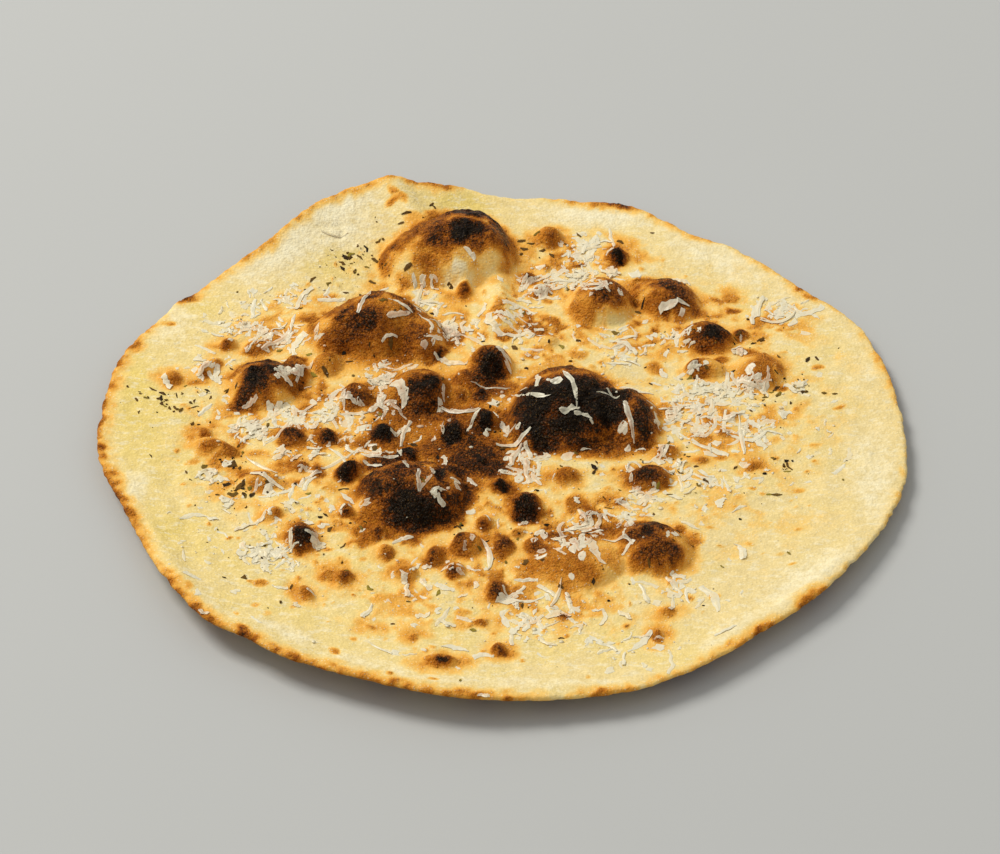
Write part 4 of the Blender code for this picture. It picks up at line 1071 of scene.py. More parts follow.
def maths(operation, first, second, clamp=False):
    """A Math node; the first value is an output."""
    node = first.id_data.nodes.new("ShaderNodeMath")
    node.operation = operation
    node.use_clamp = clamp
    feed(node.inputs[0], first)
    feed(node.inputs[1], second)
    return node.outputs[0]


def plus(first, second, clamp=False):
    return maths("ADD", first, second, clamp)


def times(first, second):
    return maths("MULTIPLY", first, second)


def ranged(value, low, high, to_low=0.0, to_high=1.0):
    """A Map Range node with a smooth slope."""
    node = value.id_data.nodes.new("ShaderNodeMapRange")
    node.interpolation_type = "SMOOTHSTEP"
    for end, given in zip(node.inputs, (value, low, high, to_low, to_high)):
        feed(end, given)
    return node.outputs["Result"]


def mixed(factor, first, second, blend="MIX"):
    """A colour Mix node; the factor or the first colour is an output."""
    known = factor if isinstance(factor, bpy.types.NodeSocket) else first
    node = known.id_data.nodes.new("ShaderNodeMix")
    node.data_type = "RGBA"
    node.blend_type = blend
    for index, value in ((0, factor), (6, first), (7, second)):
        feed(node.inputs[index], value)
    return node.outputs[2]


def lightened(colour, light):
    """A colour times a light that varies round one."""
    grey = colour.id_data.nodes.new("ShaderNodeCombineColor")
    for channel in grey.inputs:
        feed(channel, light)
    return mixed(1.0, colour, grey.outputs["Color"], "MULTIPLY")


def noise_node(place, scale):
    """Noise with three layers of detail."""
    node = place.id_data.nodes.new("ShaderNodeTexNoise")
    for name, value in (("Vector", place), ("Scale", scale), ("Detail", 3.0), ("Roughness", 0.6)):
        feed(node.inputs[name], value)
    return node.outputs["Fac"]


def attribute(tree, name):
    node = tree.nodes.new("ShaderNodeAttribute")
    node.attribute_name = name
    return node.outputs["Fac"]


def add_bump(shader, height, depth, strength):
    """Relief too fine for the mesh, its depth in metres."""
    node = height.id_data.nodes.new("ShaderNodeBump")
    for name, value in (("Strength", strength), ("Distance", depth), ("Height", height)):
        feed(node.inputs[name], value)
    feed(shader.inputs["Normal"], node.outputs["Normal"])


def new_material(name):
    """An empty material: its tree, its Principled shader and its Object coordinates."""
    material = bpy.data.materials.new(name)
    material.use_nodes = True
    tree = material.node_tree
    place = tree.nodes.new("ShaderNodeTexCoord").outputs["Object"]
    return material, tree, tree.nodes["Principled BSDF"], place


print("materials so far:", len(bpy.data.materials))

# %% [markdown]
# ## The grain
#
# Bread, cheese and herbs have a fine grain: light and dark specks, and tiny dry bubbles with a pale
# pinpoint in the middle, which the crust uses as a painted glint. One node group makes it from two
# sizes of noise and a pattern of cells. Copied into each material, every change would have to be
# made three times.

# %% The grain group
BUBBLE_SCALE = 0.62  # of the tiny dry bubbles, as a share of the specks' scale
# The pinpoints are painted glints: pale points in the crust's colour where light would glint.
GLINT_SPOT = (0.14, 0.32)  # from a bubble's middle, where it starts and ends to fade
GLINT_CHANCE = (0.45, 0.80)  # so that only some of the bubbles have one
MOTTLE_HEIGHT = 1.6  # against the specks' height of one
DOME_HEIGHT = -1.1  # so that the skin falls away from a bubble's middle


def new_group(name, inputs, outputs):
    """A node group with named sockets, its inputs' values and what it puts out."""
    group = bpy.data.node_groups.new(name, "ShaderNodeTree")
    for way, kinds in (("INPUT", inputs), ("OUTPUT", outputs)):
        for label, kind in kinds.items():
            group.interface.new_socket(name=label, in_out=way, socket_type="NodeSocket" + kind)
    given = group.nodes.new("NodeGroupInput").outputs
    return group, given, group.nodes.new("NodeGroupOutput").inputs


def add_group(tree, group, inputs):
    """Places a group in a material and feeds its inputs."""
    node = tree.nodes.new("ShaderNodeGroup")
    node.node_tree = group
    for name, value in inputs.items():
        feed(node.inputs[name], value)
    return node.outputs


grain, given, puts_out = new_group(
    "grain", {"Place": "Vector", "Speck Scale": "Float", "Mottle Scale": "Float"},
    {"Specks": "Float", "Mottle": "Float", "Painted Glints": "Float", "Height": "Float"})
speck_noise = noise_node(given["Place"], given["Speck Scale"])
mottle_noise = noise_node(given["Place"], given["Mottle Scale"])
bubbles = grain.nodes.new("ShaderNodeTexVoronoi")
feed(bubbles.inputs["Vector"], given["Place"])
feed(bubbles.inputs["Scale"], times(given["Speck Scale"], BUBBLE_SCALE))
chance = grain.nodes.new("ShaderNodeSeparateColor")
feed(chance.inputs["Color"], bubbles.outputs["Color"])
glint_dots = ranged(bubbles.outputs["Distance"], *GLINT_SPOT, 1.0, 0.0)
height = plus(times(mottle_noise, MOTTLE_HEIGHT), speck_noise)
feed(puts_out["Specks"], maths("SUBTRACT", speck_noise, 0.5))
feed(puts_out["Mottle"], maths("SUBTRACT", mottle_noise, 0.5))
feed(puts_out["Painted Glints"], times(glint_dots, ranged(chance.outputs["Red"], *GLINT_CHANCE)))
feed(puts_out["Height"], plus(height, times(bubbles.outputs["Distance"], DOME_HEIGHT)))


def add_grain(place, speck_scale, mottle_scale):
    """The grain in a material, with about so many specks and mottles to the metre."""
    return add_group(place.id_data, grain, {"Place": place, "Speck Scale": speck_scale,
                                            "Mottle Scale": mottle_scale})


print("sockets of the grain group:", len(grain.interface.items_tree))

# %% [markdown]
# ## The colour of baked dough
#
# One ramp holds the whole life of the crust, from raw-looking dough to charcoal. Browns worked out
# by a formula easily turn too red, so each stop was matched one by one. The cheese uses the ramp
# too, for the crust that shows through, so it is a group of its own.

# %% The baked colour group
# The ramp's stops: (toasting, red, green, blue), as light the surface sends back.
CRUST_RAMP = [
    (.00, .800, .620, .260), (.14, .825, .540, .150), (.28, .785, .385, .058),
    (.42, .665, .245, .021), (.54, .480, .145, .009), (.66, .285, .078, .006),
    (.78, .118, .029, .003), (.88, .036, .011, .003), (.97, .0048, .0032, .0022),
]

baked, given, puts_out = new_group("baked colour", {"Toasting": "Float"}, {"Color": "Color"})
ramp = baked.nodes.new("ShaderNodeValToRGB")
stops = ramp.color_ramp.elements
while len(stops) < len(CRUST_RAMP):
    stops.new(0.5)
for stop, (at, red, green, blue) in zip(stops, CRUST_RAMP):
    stop.position = at
    stop.color = (red, green, blue, 1.0)
feed(ramp.inputs["Fac"], given["Toasting"])
feed(puts_out["Color"], ramp.outputs["Color"])


def add_baked_colour(toasting):
    return add_group(toasting.id_data, baked, {"Toasting": toasting})["Color"]


print("stops of the ramp:", len(stops))

# %% [markdown]
# ## Toasting down to the specks
#
# The mesh carries the toasting about once a millimetre, and real toasting ends in finer specks.
# More points would be far heavier, so the material adds the grain: faint on pale dough, strong on
# brown crust. Underneath come leopard spots from the hot stone.

# %% The crust, and how toasted each point is
FINE_GRAIN = (1500.0, 420.0)
BROAD_GRAIN = (160.0, 55.0)
LEOPARD = (0.50, 0.68, 0.12, 0.66)  # mottle from and to, and the toasting that it makes
SPECKS_RISE = (0.25, 0.78, 0.06, 0.85)  # toasting from and to, and the specks' strength
SPECKS_FALL = (0.80, 1.00, 1.0, 0.70)
TOAST_SPECKS = 1.3
TOAST_MOTTLE = 0.9
TOAST_BLOTCHES = 0.16  # broad ones, at any toasting

crust, tree, shader, place = new_material("crust")
toast, oil_and_shade, flour_and_light, below_mask = [attribute(tree, name) for name in (*ATTRIBUTES, "below")]
fine = add_grain(place, *FINE_GRAIN)
broad = add_grain(place, *BROAD_GRAIN)
leopard = times(ranged(plus(broad["Mottle"], 0.5), *LEOPARD), below_mask)
toasted = maths("MAXIMUM", toast, leopard)
speck_amount = times(ranged(toasted, *SPECKS_RISE), ranged(toasted, *SPECKS_FALL))
specks = plus(times(fine["Specks"], TOAST_SPECKS), times(fine["Mottle"], TOAST_MOTTLE))
toasted = plus(toasted, times(specks, speck_amount))
toasted = plus(toasted, times(broad["Specks"], TOAST_BLOTCHES), clamp=True)
print("crust nodes so far:", len(tree.nodes))

# %% [markdown]
# ## Pale dough
#
# Unbrowned dough is cream, yellower where it is oiled and whiter where it is floury, with short
# pale streaks where it was stretched. In a few places the oiled colour is painted shade, and the
# whiter one is painted light on the far bubble's front. The streaks could be painted, but only
# their run matters, so a Mapping node squeezes noise along one way.

# %% The colour of the dough
DOUGH = (.785, .610, .270)
# The oiled colour is also painted shade in a few places. The whitish one is flour, stretched
# streaks and dust, and painted light on the far bubble's front.
OILED_AND_SHADED_DOUGH = (.762, .570, .160)
WHITISH_DOUGH = (.835, .742, .485)
OIL_AND_SHADE_MOTTLE = 1.7
FLOUR_AND_LIGHT_MOTTLE = 1.3
FLOUR_AND_LIGHT_FROM = (0.0, 0.2)  # flour from which it shows, and shows fully
STREAK_TURN = 0.5  # in radians, of the short pale streaks in the dough
STREAK_SQUEEZE = (0.45, 1.0, 1.0)
STREAK_SCALE = 520.0
STREAKS = (0.52, 0.66, 0.0, 0.55)  # noise from and to, and how pale the streak is
TOASTED_FROM = (0.03, 0.20)  # toasting over which pale dough gives way to the ramp

oil_and_shade_uneven = plus(oil_and_shade, times(broad["Mottle"], OIL_AND_SHADE_MOTTLE), clamp=True)
flour_and_light_uneven = plus(flour_and_light, broad["Specks"])
flour_and_light_uneven = plus(flour_and_light_uneven, times(fine["Mottle"], FLOUR_AND_LIGHT_MOTTLE), clamp=True)
flour_and_light_uneven = times(flour_and_light_uneven, ranged(flour_and_light, *FLOUR_AND_LIGHT_FROM))
pale = mixed(oil_and_shade_uneven, DOUGH, OILED_AND_SHADED_DOUGH)
pale = mixed(flour_and_light_uneven, pale, WHITISH_DOUGH)
drawn_out = tree.nodes.new("ShaderNodeMapping")
feed(drawn_out.inputs["Vector"], place)
feed(drawn_out.inputs["Rotation"], (0.0, 0.0, STREAK_TURN))
feed(drawn_out.inputs["Scale"], STREAK_SQUEEZE)
streaks = ranged(noise_node(drawn_out.outputs["Vector"], STREAK_SCALE), *STREAKS)
pale = mixed(streaks, pale, WHITISH_DOUGH)
colour = mixed(ranged(toasted, *TOASTED_FROM), pale, add_baked_colour(toasted))
print("crust nodes so far:", len(tree.nodes))

# %% [markdown]
# ## Dust and painted glints on the crust
#
# A last pale dust lies on everything: white flour on the dough, golden on what is brown. The golden
# specks and the grain's pinpoints are painted glints. Then the grain makes the colour a little
# lighter and darker, because an even colour looks like paint.

# %% Dust, painted glints, light and dark
# The pale specks on dough are flour dust. The golden specks on brown crust and the pinpoints are
# painted glints.
GOLDEN_DUST_AND_GLINT = (.700, .370, .100)
DUST_AND_GLINT_GRAINS = (0.09, 0.20, 0.0, 0.8)  # specks from and to, and how much dust they are
DUST_AND_GLINT_AMOUNT = (0.35, 0.95, 0.60, 0.14)  # toasting from and to, and how much dust shows
DUST_AND_GLINT_GOLDEN = (0.25, 0.60)  # toasting over which the dust turns from white to golden
LIGHT_SPECKS = 0.42
LIGHT_MOTTLE = 0.30
LIGHT_WAVES = 0.22

dust_and_glints = maths("MAXIMUM", ranged(fine["Specks"], *DUST_AND_GLINT_GRAINS), fine["Painted Glints"])
dust_and_glint_colour = mixed(ranged(toasted, *DUST_AND_GLINT_GOLDEN), WHITISH_DOUGH, GOLDEN_DUST_AND_GLINT)
colour = mixed(times(dust_and_glints, ranged(toasted, *DUST_AND_GLINT_AMOUNT)), colour, dust_and_glint_colour)
brightness = plus(times(fine["Specks"], LIGHT_SPECKS), times(fine["Mottle"], LIGHT_MOTTLE))
brightness = plus(plus(brightness, times(broad["Specks"], LIGHT_WAVES)), 1.0)
feed(shader.inputs["Base Color"], lightened(colour, brightness))
print("crust nodes so far:", len(tree.nodes))

# %% [markdown]
# ## Shine and skin
#
# Baked dough is dull, a little shinier with oil and duller still with flour. Its gloss is weak and
# warm, as it comes through a film of fat. The finest roughness is a bump: it is far below a
# millimetre, and changes no outline.

# %% Gloss, bump, and the bread in the model
DULL = (0.30, 0.95, 0.60, 0.42)  # toasting from and to, and the roughness there
OIL_SHINE = 0.16
FLOUR_DULL = 0.25
SPECK_DULL = 0.3
GLOSS = 0.12
WARM_GLOSS = (1.0, .78, .55)
SKIN = (0.20, 0.65, 0.16, 1.0)  # toasting from and to, and how rough the skin is
FLOUR_SKIN = 0.07
SKIN_DEPTH = 0.0010  # of the bump, in metres

dull = maths("SUBTRACT", ranged(toasted, *DULL), times(oil_and_shade_uneven, OIL_SHINE))
dull = plus(dull, times(flour_and_light_uneven, FLOUR_DULL))
feed(shader.inputs["Roughness"], plus(dull, times(fine["Specks"], SPECK_DULL), clamp=True))
feed(shader.inputs["Specular IOR Level"], GLOSS)
feed(shader.inputs["Specular Tint"], WARM_GLOSS)
rough_amount = plus(ranged(toasted, *SKIN), times(flour_and_light_uneven, FLOUR_SKIN))
add_bump(shader, times(fine["Height"], rough_amount), SKIN_DEPTH, 0.9)
bread_mesh.materials.append(crust)
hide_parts("focaccia")
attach(bread, "root")
print("crust nodes:", len(tree.nodes))

# %% [markdown]
# ## Grated cheese
#
# The cheese was grated fine over the hot bread and half melted, so it takes a little of the crust's
# colour: cream on pale dough, pinkish on brown and greyish on char. Transparency would be the plain
# way, but it can't be baked into a colour. So every point carries the toasting of the crust under
# it, and where its tint is low it takes on that colour.

# %% The cheese material
CURD = (.732, .676, .490)
CURD_GRAIN = (900.0, 300.0)
CURD_UNEVEN = 0.9  # how much the mottle changes the tint from place to place
SEE_THROUGH = (0.0, 1.0, 0.78, 0.16)  # tint from and to, and how much crust shows through
ON_CHAR = (0.75, 0.95, 1.0, 0.62)  # toasting from and to, and the share that still shows
ON_PALE = (0.30, 0.75, 0.60, 1.0)
CURD_GLOSS = 0.4
CURD_DULL = 0.36

cheese, tree, shader, place = new_material("cheese")
under = attribute(tree, "under")
fine = add_grain(place, *CURD_GRAIN)
uneven = times(fine["Mottle"], CURD_UNEVEN)
tint = maths("SUBTRACT", attribute(tree, "tint"), uneven, clamp=True)
see_through = times(ranged(tint, *SEE_THROUGH), ranged(under, *ON_CHAR))
see_through = times(see_through, ranged(under, *ON_PALE))
body = mixed(see_through, CURD, add_baked_colour(under))
body = lightened(body, plus(times(fine["Mottle"], 0.25), 1.0))
feed(shader.inputs["Base Color"], body)
feed(shader.inputs["Roughness"], plus(times(fine["Specks"], 0.5), CURD_DULL, clamp=True))
feed(shader.inputs["Specular IOR Level"], CURD_GLOSS)
add_bump(shader, fine["Height"], 0.00025, 0.6)
print("cheese nodes:", len(tree.nodes))

# %% [markdown]
# ## Where the cheese fell
#
# The longest shreds and the broad chips have a row each, by the floor points that they hide. The
# fine ones are counted in heaps. Chance alone would spread them evenly, which cheese from a cook's
# hand never is.

# %% Shreds and chips that stand out one by one
# (from x, from y, to x, to y, width, bend in degrees), by what they hide on the floor.
LONE_SHREDS = [
    (11.5, 38, 13, 30, 2.4, 0), (4.5, 26, 17, 27, 1.7, 80), (21.5, 39, 26, 20, 2.3, -35),
    (20, 18.5, 27, 21.5, 2.4, 10), (25, 18, 31.5, 11.5, 1.6, -65), (41, 29.5, 53, 27, 1.9, -10),
    (43.5, 24, 45, .5, 2, 10), (-2, -1, 9.5, 10, 2.4, 45), (0, 12, 2, 4, 3, 0),
    (7, 0, 2, -11, 2.8, 0), (8, 1, 10, -7, 2, 0), (8.5, -7, 9, -20, 2.6, 10),
    (10, -14, 13, -21, 2.2, 0), (-12, -18, -9, -22, 2.2, -90), (-34, -6, -32, -12.5, 1.8, 0),
    (-47.5, -8.5, -41.5, -10, 2, 80), (-62, -12, -50, -3.5, 1.8, 0),
    (-34.5, -.5, -32, 12, 1.9, -20), (-33, 13, -39.5, 23, 2, 20), (-46, 17, -41, 26, 3, 20),
    (-56.5, 16, -46, 17, 2, 10), (-21, 19.5, -8, 19, 2.4, 65), (-24, 50, -18, 43, 2.2, -20),
    (-21, 46, -12, 44, 2.2, 20), (-17, 63, -16, 53, 2.2, 0), (-41, 69, -32.5, 70, 2.8, -20),
    (-31, 74, -27, 88, 2.4, -15), (-14, 108, -9.5, 101, 2.4, 0), (-66, 78, -56, 78.5, 2.4, 0),
    (-54, 74, -45, 84, 2.2, 10), (-106, 16, -100.5, 21, 2.4, 0), (-81, 0, -74, 12, 1.9, 20),
    (-88, -6, -77, -15, 1.7, 15), (-90.5, -43, -80, -37.5, 2, 10), (-68, -23, -64, -16, 2.2, 0),
    (-6, -48, -5.5, -63, 2.6, -50), (21, -43, 30, -40.5, 1.9, 0), (26, -33, 29, -41, 2, 0),
    (33.5, -47.5, 44, -50, 1.8, -70), (81, 34, 90, 29, 2.2, 0), (82.5, 15, 83, -5, 2.2, 0),
    (65, 2, 78, -5, 2.6, 20), (56, 73, 67, 75, 3, -20), (61, 91, 67, 86, 2.6, -40),
    (4, -67.5, 12, -68, 2.3, 0), (20, -67, 16, -81, 1.8, -20), (21.5, -74, 23, -83, 2.2, 0),
    (45.5, -70, 49, -79, 2.2, 0), (55, -66, 59.5, -75, 2.8, 0), (66, -71, 73, -82, 3.6, 0),
    (31, -103, 37, -100, 1.8, -20), (-85, 51, -76, 59, 2.4, 10), (-107, 36, -103, 44, 2.4, 10),
    (-72, 33, -67, 44, 1.8, 10), (33, 28, 41, 27, 1.9, 10), (36, 31, 40, 25, 1.4, 0),
    (15.5, 34.5, 21, 34, 2.8, 0), (-46, -86, -42.5, -80, 2.2, 0), (-44, -97, -36, -103, 1.1, 20),
    (-17, -81, -22, -90, 2.2, 0), (-15, -85, -10, -88, 2.2, 0), (-31, -70, -32, -76, 2.4, 0),
    (-27, -67, -24, -73, 2.2, 0), (-76, -70, -71, -72, 2, 60), (-37, -50, -30, -46, 2, 0),
    (12, -70, 18, -76, 2.2, 0), (3, -99, 3.5, -94, 1.8, 0), (12, -95, 18, -99, 1.8, 60),
    (31, -97, 37, -102, 1.8, -50), (39, -82, 42, -87, 2.8, 0), (57, -63, 61, -68, 2.8, 0),
    (79, -50, 81, -58, 3.6, 0), (-66, 118, -56, 116, 1.0, 80), (-11, 33, 3, 29, .9, 20),
    (-100, -82, -97, -84, 2.2, 0), (-8, -122, -4, -122, 2.2, 0),
]

# Broad chips of cheese: (x, y, length, width, turn).
CHIPS = [
    (-23, -25, 5, 4.5, 0), (-44, 33, 7, 10, 20), (-87, 8, 10, 12, 20), (-75.5, -3.5, 4.5, 9, 0),
    (-64.5, -4, 4, 7, 0), (-100, -16, 8, 8, 20), (-93, -31, 4.5, 8, 0), (-80, -54, 9, 9, 20),
    (-63, -49, 5, 6, 30), (104, 31, 8, 5, 30), (83.5, 49, 3.5, 4.5, 0), (66.5, 40, 4.5, 4, 0),
    (40, 94, 7, 7, -30), (-19, 61, 7, 8, 0), (-75.5, 38, 6, 10, -25), (74, 29, 15, 5, -8),
    (59, 15, 7, 8, 0), (28, 92, 9, 6, 20),
]

# Where fine shreds and crumbs fell thickest: (x, y, half length, half width, shreds, crumbs).
HEAPS = [
    (-93, 63, 12, 6, 20, 60), (-76, 56, 10, 9, 20, 70), (-85, 58, 12, 7, 14, 50),
    (-70, 13, 14, 8, 32, 110), (-88, 8, 10, 9, 12, 60), (-60, 22, 9, 7, 16, 60),
    (-40, 39, 8, 9, 13, 60), (-40, 20, 8, 12, 16, 70), (-50, 4, 10, 8, 15, 60),
    (-15, 62, 9, 8, 26, 70), (-27, 80, 8, 10, 18, 50), (17, 87, 13, 8, 34, 100),
    (30, 104, 10, 10, 28, 90), (5, 68, 9, 9, 18, 60), (30, 90, 12, 8, 26, 80),
    (66, 15, 14, 14, 62, 240), (74, 28, 16, 7, 26, 110), (84, 8, 10, 12, 26, 80),
    (100, 72, 11, 7, 28, 80), (86, 30, 10, 8, 16, 50), (-78, -55, 12, 8, 26, 100),
    (-70, -30, 16, 12, 22, 70), (18, -47, 12, 7, 20, 70), (8, -10, 8, 12, 14, 40),
    (14, -86, 14, 12, 22, 120), (46, -30, 9, 8, 20, 60), (58, -72, 14, 9, 10, 50),
    (40, 55, 10, 12, 14, 40), (64, 60, 14, 12, 16, 50), (-20, -62, 20, 10, 11, 60),
    (72, -20, 16, 10, 22, 60), (0, 5, 30, 30, 26, 120), (-40, 0, 40, 40, 30, 200),
    (40, 10, 30, 25, 10, 60), (0, 0, 75, 70, 90, 700), (45, -100, 22, 10, 14, 70),
    (100, 5, 20, 25, 16, 80), (-95, 30, 15, 25, 12, 60), (-100, -40, 16, 20, 12, 60),
    (0, -90, 60, 20, 15, 120), (-80, 79, 12, 6, 12, 60), (-70, 82, 8, 5, 7, 40),
    (-95, 71, 10, 6, 6, 30), (-104, 42, 9, 7, 7, 20), (10, 61, 8, 10, 10, 30),
    (42, 46, 10, 8, 12, 40), (58, -12, 10, 9, 14, 40), (30, -40, 10, 6, 14, 40),
    (-25, -80, 14, 10, 6, 30), (60, -20, 45, 50, 16, 60), (-60, -50, 50, 40, 8, 40),
]
print("lone shreds:", len(LONE_SHREDS), "chips:", len(CHIPS), "heaps:", len(HEAPS))

# %% [markdown]
# ## Laying a shred
#
# A shred is a thin strip that curls, narrows to its ends, tears along its sides and lies on
# whatever is below it. Cloth simulation could drape a thousand of them in a long time. Reading the
# crust's height under each point does it at once.

# %% Laying strips along the crust
LEAN = 0.45  # how much wider one end may be than the other
POINTED = (0.15, 0.85)  # how much the ends narrow
PACE = (2.0, 5.0)  # of the waves along the sides
WAVE = 0.16  # how far they reach, as a share of the width
KINK = 0.45  # how far the strip may step sideways, for each share it is torn
TURNED_UP = 0.22  # how far one side may stand up, as a share of the width
BRIDGED = 0.25  # how much of a dip it bridges
ARCH = (0.35, 0.65)  # of its lift: everywhere, and added on its arches
THIN_SIDE = 0.8  # how much thinner the sides are than the spine
SUNK = 0.2  # the share of its thickness that sank in


def lay_strips(template, start, end, width, bend, thick, lift, torn, draw):
    """Bends, tears and tapers one copy of the template for each strip, and drapes it."""
    places, _ = template
    u, v, w = places[:, 0], places[:, 1], places[:, 2]
    count = len(start)
    chord = end - start
    length = np.hypot(chord[:, 0], chord[:, 1])
    sideways = np.column_stack([-chord[:, 1], chord[:, 0]]) / length[:, None]
    sagitta = 0.5 * length * np.tan(np.radians(0.25 * bend))
    bow = (sideways * sagitta[:, None])[:, None]
    middle = start[:, None] + chord[:, None] * (0.5 + 0.5 * u)[None, :, None]
    middle -= bow * (1.0 - u ** 2)[None, :, None]
    slope = chord[:, None] * 0.5 + bow * (2.0 * u)[None, :, None]
    across = np.stack([-slope[..., 1], slope[..., 0]], axis=-1)
    across /= np.linalg.norm(across, axis=-1, keepdims=True)

    lean = draw.uniform(-LEAN, LEAN, (count, 1))
    phase = draw.uniform(0, math.tau, (count, 2))
    pace = draw.uniform(*PACE, (count, 2))
    pointed = draw.uniform(*POINTED, (count, 1))
    ragged = draw.uniform(-torn, torn, (count, len(u)))
    taper = (1.0 - pointed * np.abs(u[None]) ** 3) * (1.0 + lean * u[None])
    wave = np.sin(pace[:, :1] * u[None] + phase[:, :1]) * WAVE
    side = v[None] * width[:, None] * (taper + wave + ragged)
    stations, station = np.unique(u.round(4), return_inverse=True)
    kinks = draw.normal(0.0, KINK * torn, (count, len(stations))).cumsum(axis=1)
    side += width[:, None] * (kinks - kinks.mean(axis=1, keepdims=True))[:, station]
    side += WAVE * width[:, None] * np.sin(pace[:, 1:] * 0.7 * u[None] + phase[:, 1:])

    at = middle + across * side[..., None]
    ground = read_map(crust_top, at[..., 0], at[..., 1])
    spine = read_map(crust_top, middle[..., 0], middle[..., 1])
    turned_up = draw.uniform(-TURNED_UP, TURNED_UP, (count, 1)) * v[None] * width[:, None]
    arch = lift[:, None] * (ARCH[0] + ARCH[1] * np.cos(1.4 * u[None] + phase[:, :1]) ** 2)
    height = (1.0 - BRIDGED) * ground + BRIDGED * np.maximum(ground, spine) + arch
    height = height + np.abs(turned_up) * 0.5 + turned_up * 0.3
    thin_side = 1.0 - THIN_SIDE * (2.0 * np.abs(v)) ** 2
    height += (w[None] * thin_side[None] - SUNK) * thick[:, None]
    laid = np.concatenate([at, height[..., None]], axis=-1)
    return laid, read_map(toast_map, at[..., 0], at[..., 1])


def half_reach(length, turn):
    """From a strip's middle to its end."""
    return 0.5 * np.column_stack([length * np.cos(turn), length * np.sin(turn)])


print("points in a shred:", len(STRIP[0]))

# %% [markdown]
# ## The large shreds
#
# A shred that is listed by its two ends may cross the crest of a blister, and from the side it
# would be a long bridge, so it is shortened round its middle. A piece has more tint towards its rim
# than in its middle, which took on more of the crust's colour.

# %% Shreds that stand out one by one
LONGEST_LAID = 1.45  # how much longer a shred may lie than it looks
LONE_WIDTH = 0.66  # of the listed width, because a shred curls up across itself
LONE_THICK = (0.20, 0.36)
LONE_LIFT = (0.05, 0.35)
LONE_TORN = 0.32
LONE_TINT = (0.1, 0.7)
RIM_TINT = 0.45  # how much more tint the rim of a piece has than its middle


def towards_rim(template):
    """What the tint gains from a piece's middle to its rim."""
    x, y = np.abs(template[0][:, 0]), np.abs(template[0][:, 1])
    out = 2.0 * np.hypot(x, y) if template is CHIP else np.maximum(2.0 * y, x ** 6)
    return RIM_TINT * out[None] ** 2


draw = np.random.default_rng(SEED + 1)
lone = np.array(LONE_SHREDS, float)
lone_start = where_seen(lone[:, 0], lone[:, 1])
lone_end = where_seen(lone[:, 2], lone[:, 3])
lone_middle = where_seen(0.5 * (lone[:, 0] + lone[:, 2]), 0.5 * (lone[:, 1] + lone[:, 3]))
laid_length = np.linalg.norm(lone_end - lone_start, axis=1)
seen_length = np.linalg.norm(lone[:, 2:4] - lone[:, :2], axis=1)
too_long = laid_length > LONGEST_LAID * seen_length
half_chord = (lone_end - lone_start) * (0.5 * seen_length / laid_length)[:, None]
lone_start[too_long] = (lone_middle - half_chord)[too_long]
lone_end[too_long] = (lone_middle + half_chord)[too_long]
thick = draw.uniform(*LONE_THICK, len(lone))
lift = draw.uniform(*LONE_LIFT, len(lone))
places, under = lay_strips(STRIP, lone_start, lone_end, lone[:, 4] * LONE_WIDTH, lone[:, 5],
                           thick, lift, LONE_TORN, draw)
tint = draw.uniform(*LONE_TINT, (len(lone), 1)) + towards_rim(STRIP)
tiled_piece("cheese_shreds_large", places, STRIP, cheese, under=under, tint=tint)
print("shreds shortened where they crossed a ridge:", int(too_long.sum()))

# %% [markdown]
# ## The fine shreds
#
# Chance drops each heap's shreds round its middle. On the dark steep sides of blisters most of them
# slid off. Painted weights would give the right amount, but not the loose rims of real heaps.

# %% Heaps of fine shreds
HEAP_SPREAD = 0.54  # how widely a heap scatters, as a share of its row
CLEAR_OF_EDGE = 4.0  # nothing lies nearer the edge than this
SLID_OFF = 0.93  # the share of the fine cheese that slid off dark steep crust
SLIDES_FROM = (0.5, 0.8)  # toasting from which some slides, and from which that share does
FINE_LENGTH = (2.4, 2.0)  # the curve of chance: most are about 4 mm long
FINE_SHORTEST = 1.6
FINE_LONGEST = 13.0
FINE_WIDTH = (0.40, 0.05, 0.45)  # at least, for each millimetre of length, and by chance
FINE_BEND = 45.0  # degrees, with the sharpest at 150
FINE_THICK = (0.08, 0.20)
FINE_LIFT = 0.12
FINE_TORN = 0.4


def scatter_heaps(heaps, column, draw):
    """Seen places for every heap, with the heap's count taken from that column."""
    spots = [draw.normal(row[:2], (HEAP_SPREAD * row[2], HEAP_SPREAD * row[3]),
                         (int(row[column]), 2)) for row in heaps]
    at = where_seen(*np.concatenate(spots).T)
    from_edge = rim_radius(np.degrees(np.arctan2(at[:, 1], at[:, 0]))) - np.hypot(*at.T)
    slid_off = SLID_OFF * smooth_step(*SLIDES_FROM, read_map(toast_map, at[:, 0], at[:, 1]))
    return at[(from_edge > CLEAR_OF_EDGE) & (draw.uniform(0, 1, len(at)) > slid_off)]


at = scatter_heaps(HEAPS, 4, draw)
count = len(at)
length = draw.gamma(*FINE_LENGTH, count).clip(FINE_SHORTEST, FINE_LONGEST)
reach = half_reach(length, draw.uniform(0, math.pi, count))
width = FINE_WIDTH[0] + FINE_WIDTH[1] * length + draw.exponential(FINE_WIDTH[2], count)
bend = draw.normal(0, FINE_BEND, count).clip(-150, 150)
thick = draw.uniform(*FINE_THICK, count)
lift = draw.exponential(FINE_LIFT, count)
places, under = lay_strips(STRIP, at - reach, at + reach, width.clip(0.4, 2.4), bend, thick, lift,
                           FINE_TORN, draw)
tint = draw.beta(1.5, 1.7, (count, 1)) + towards_rim(STRIP)
tiled_piece("cheese_shreds_fine", places, STRIP, cheese, under=under, tint=tint)

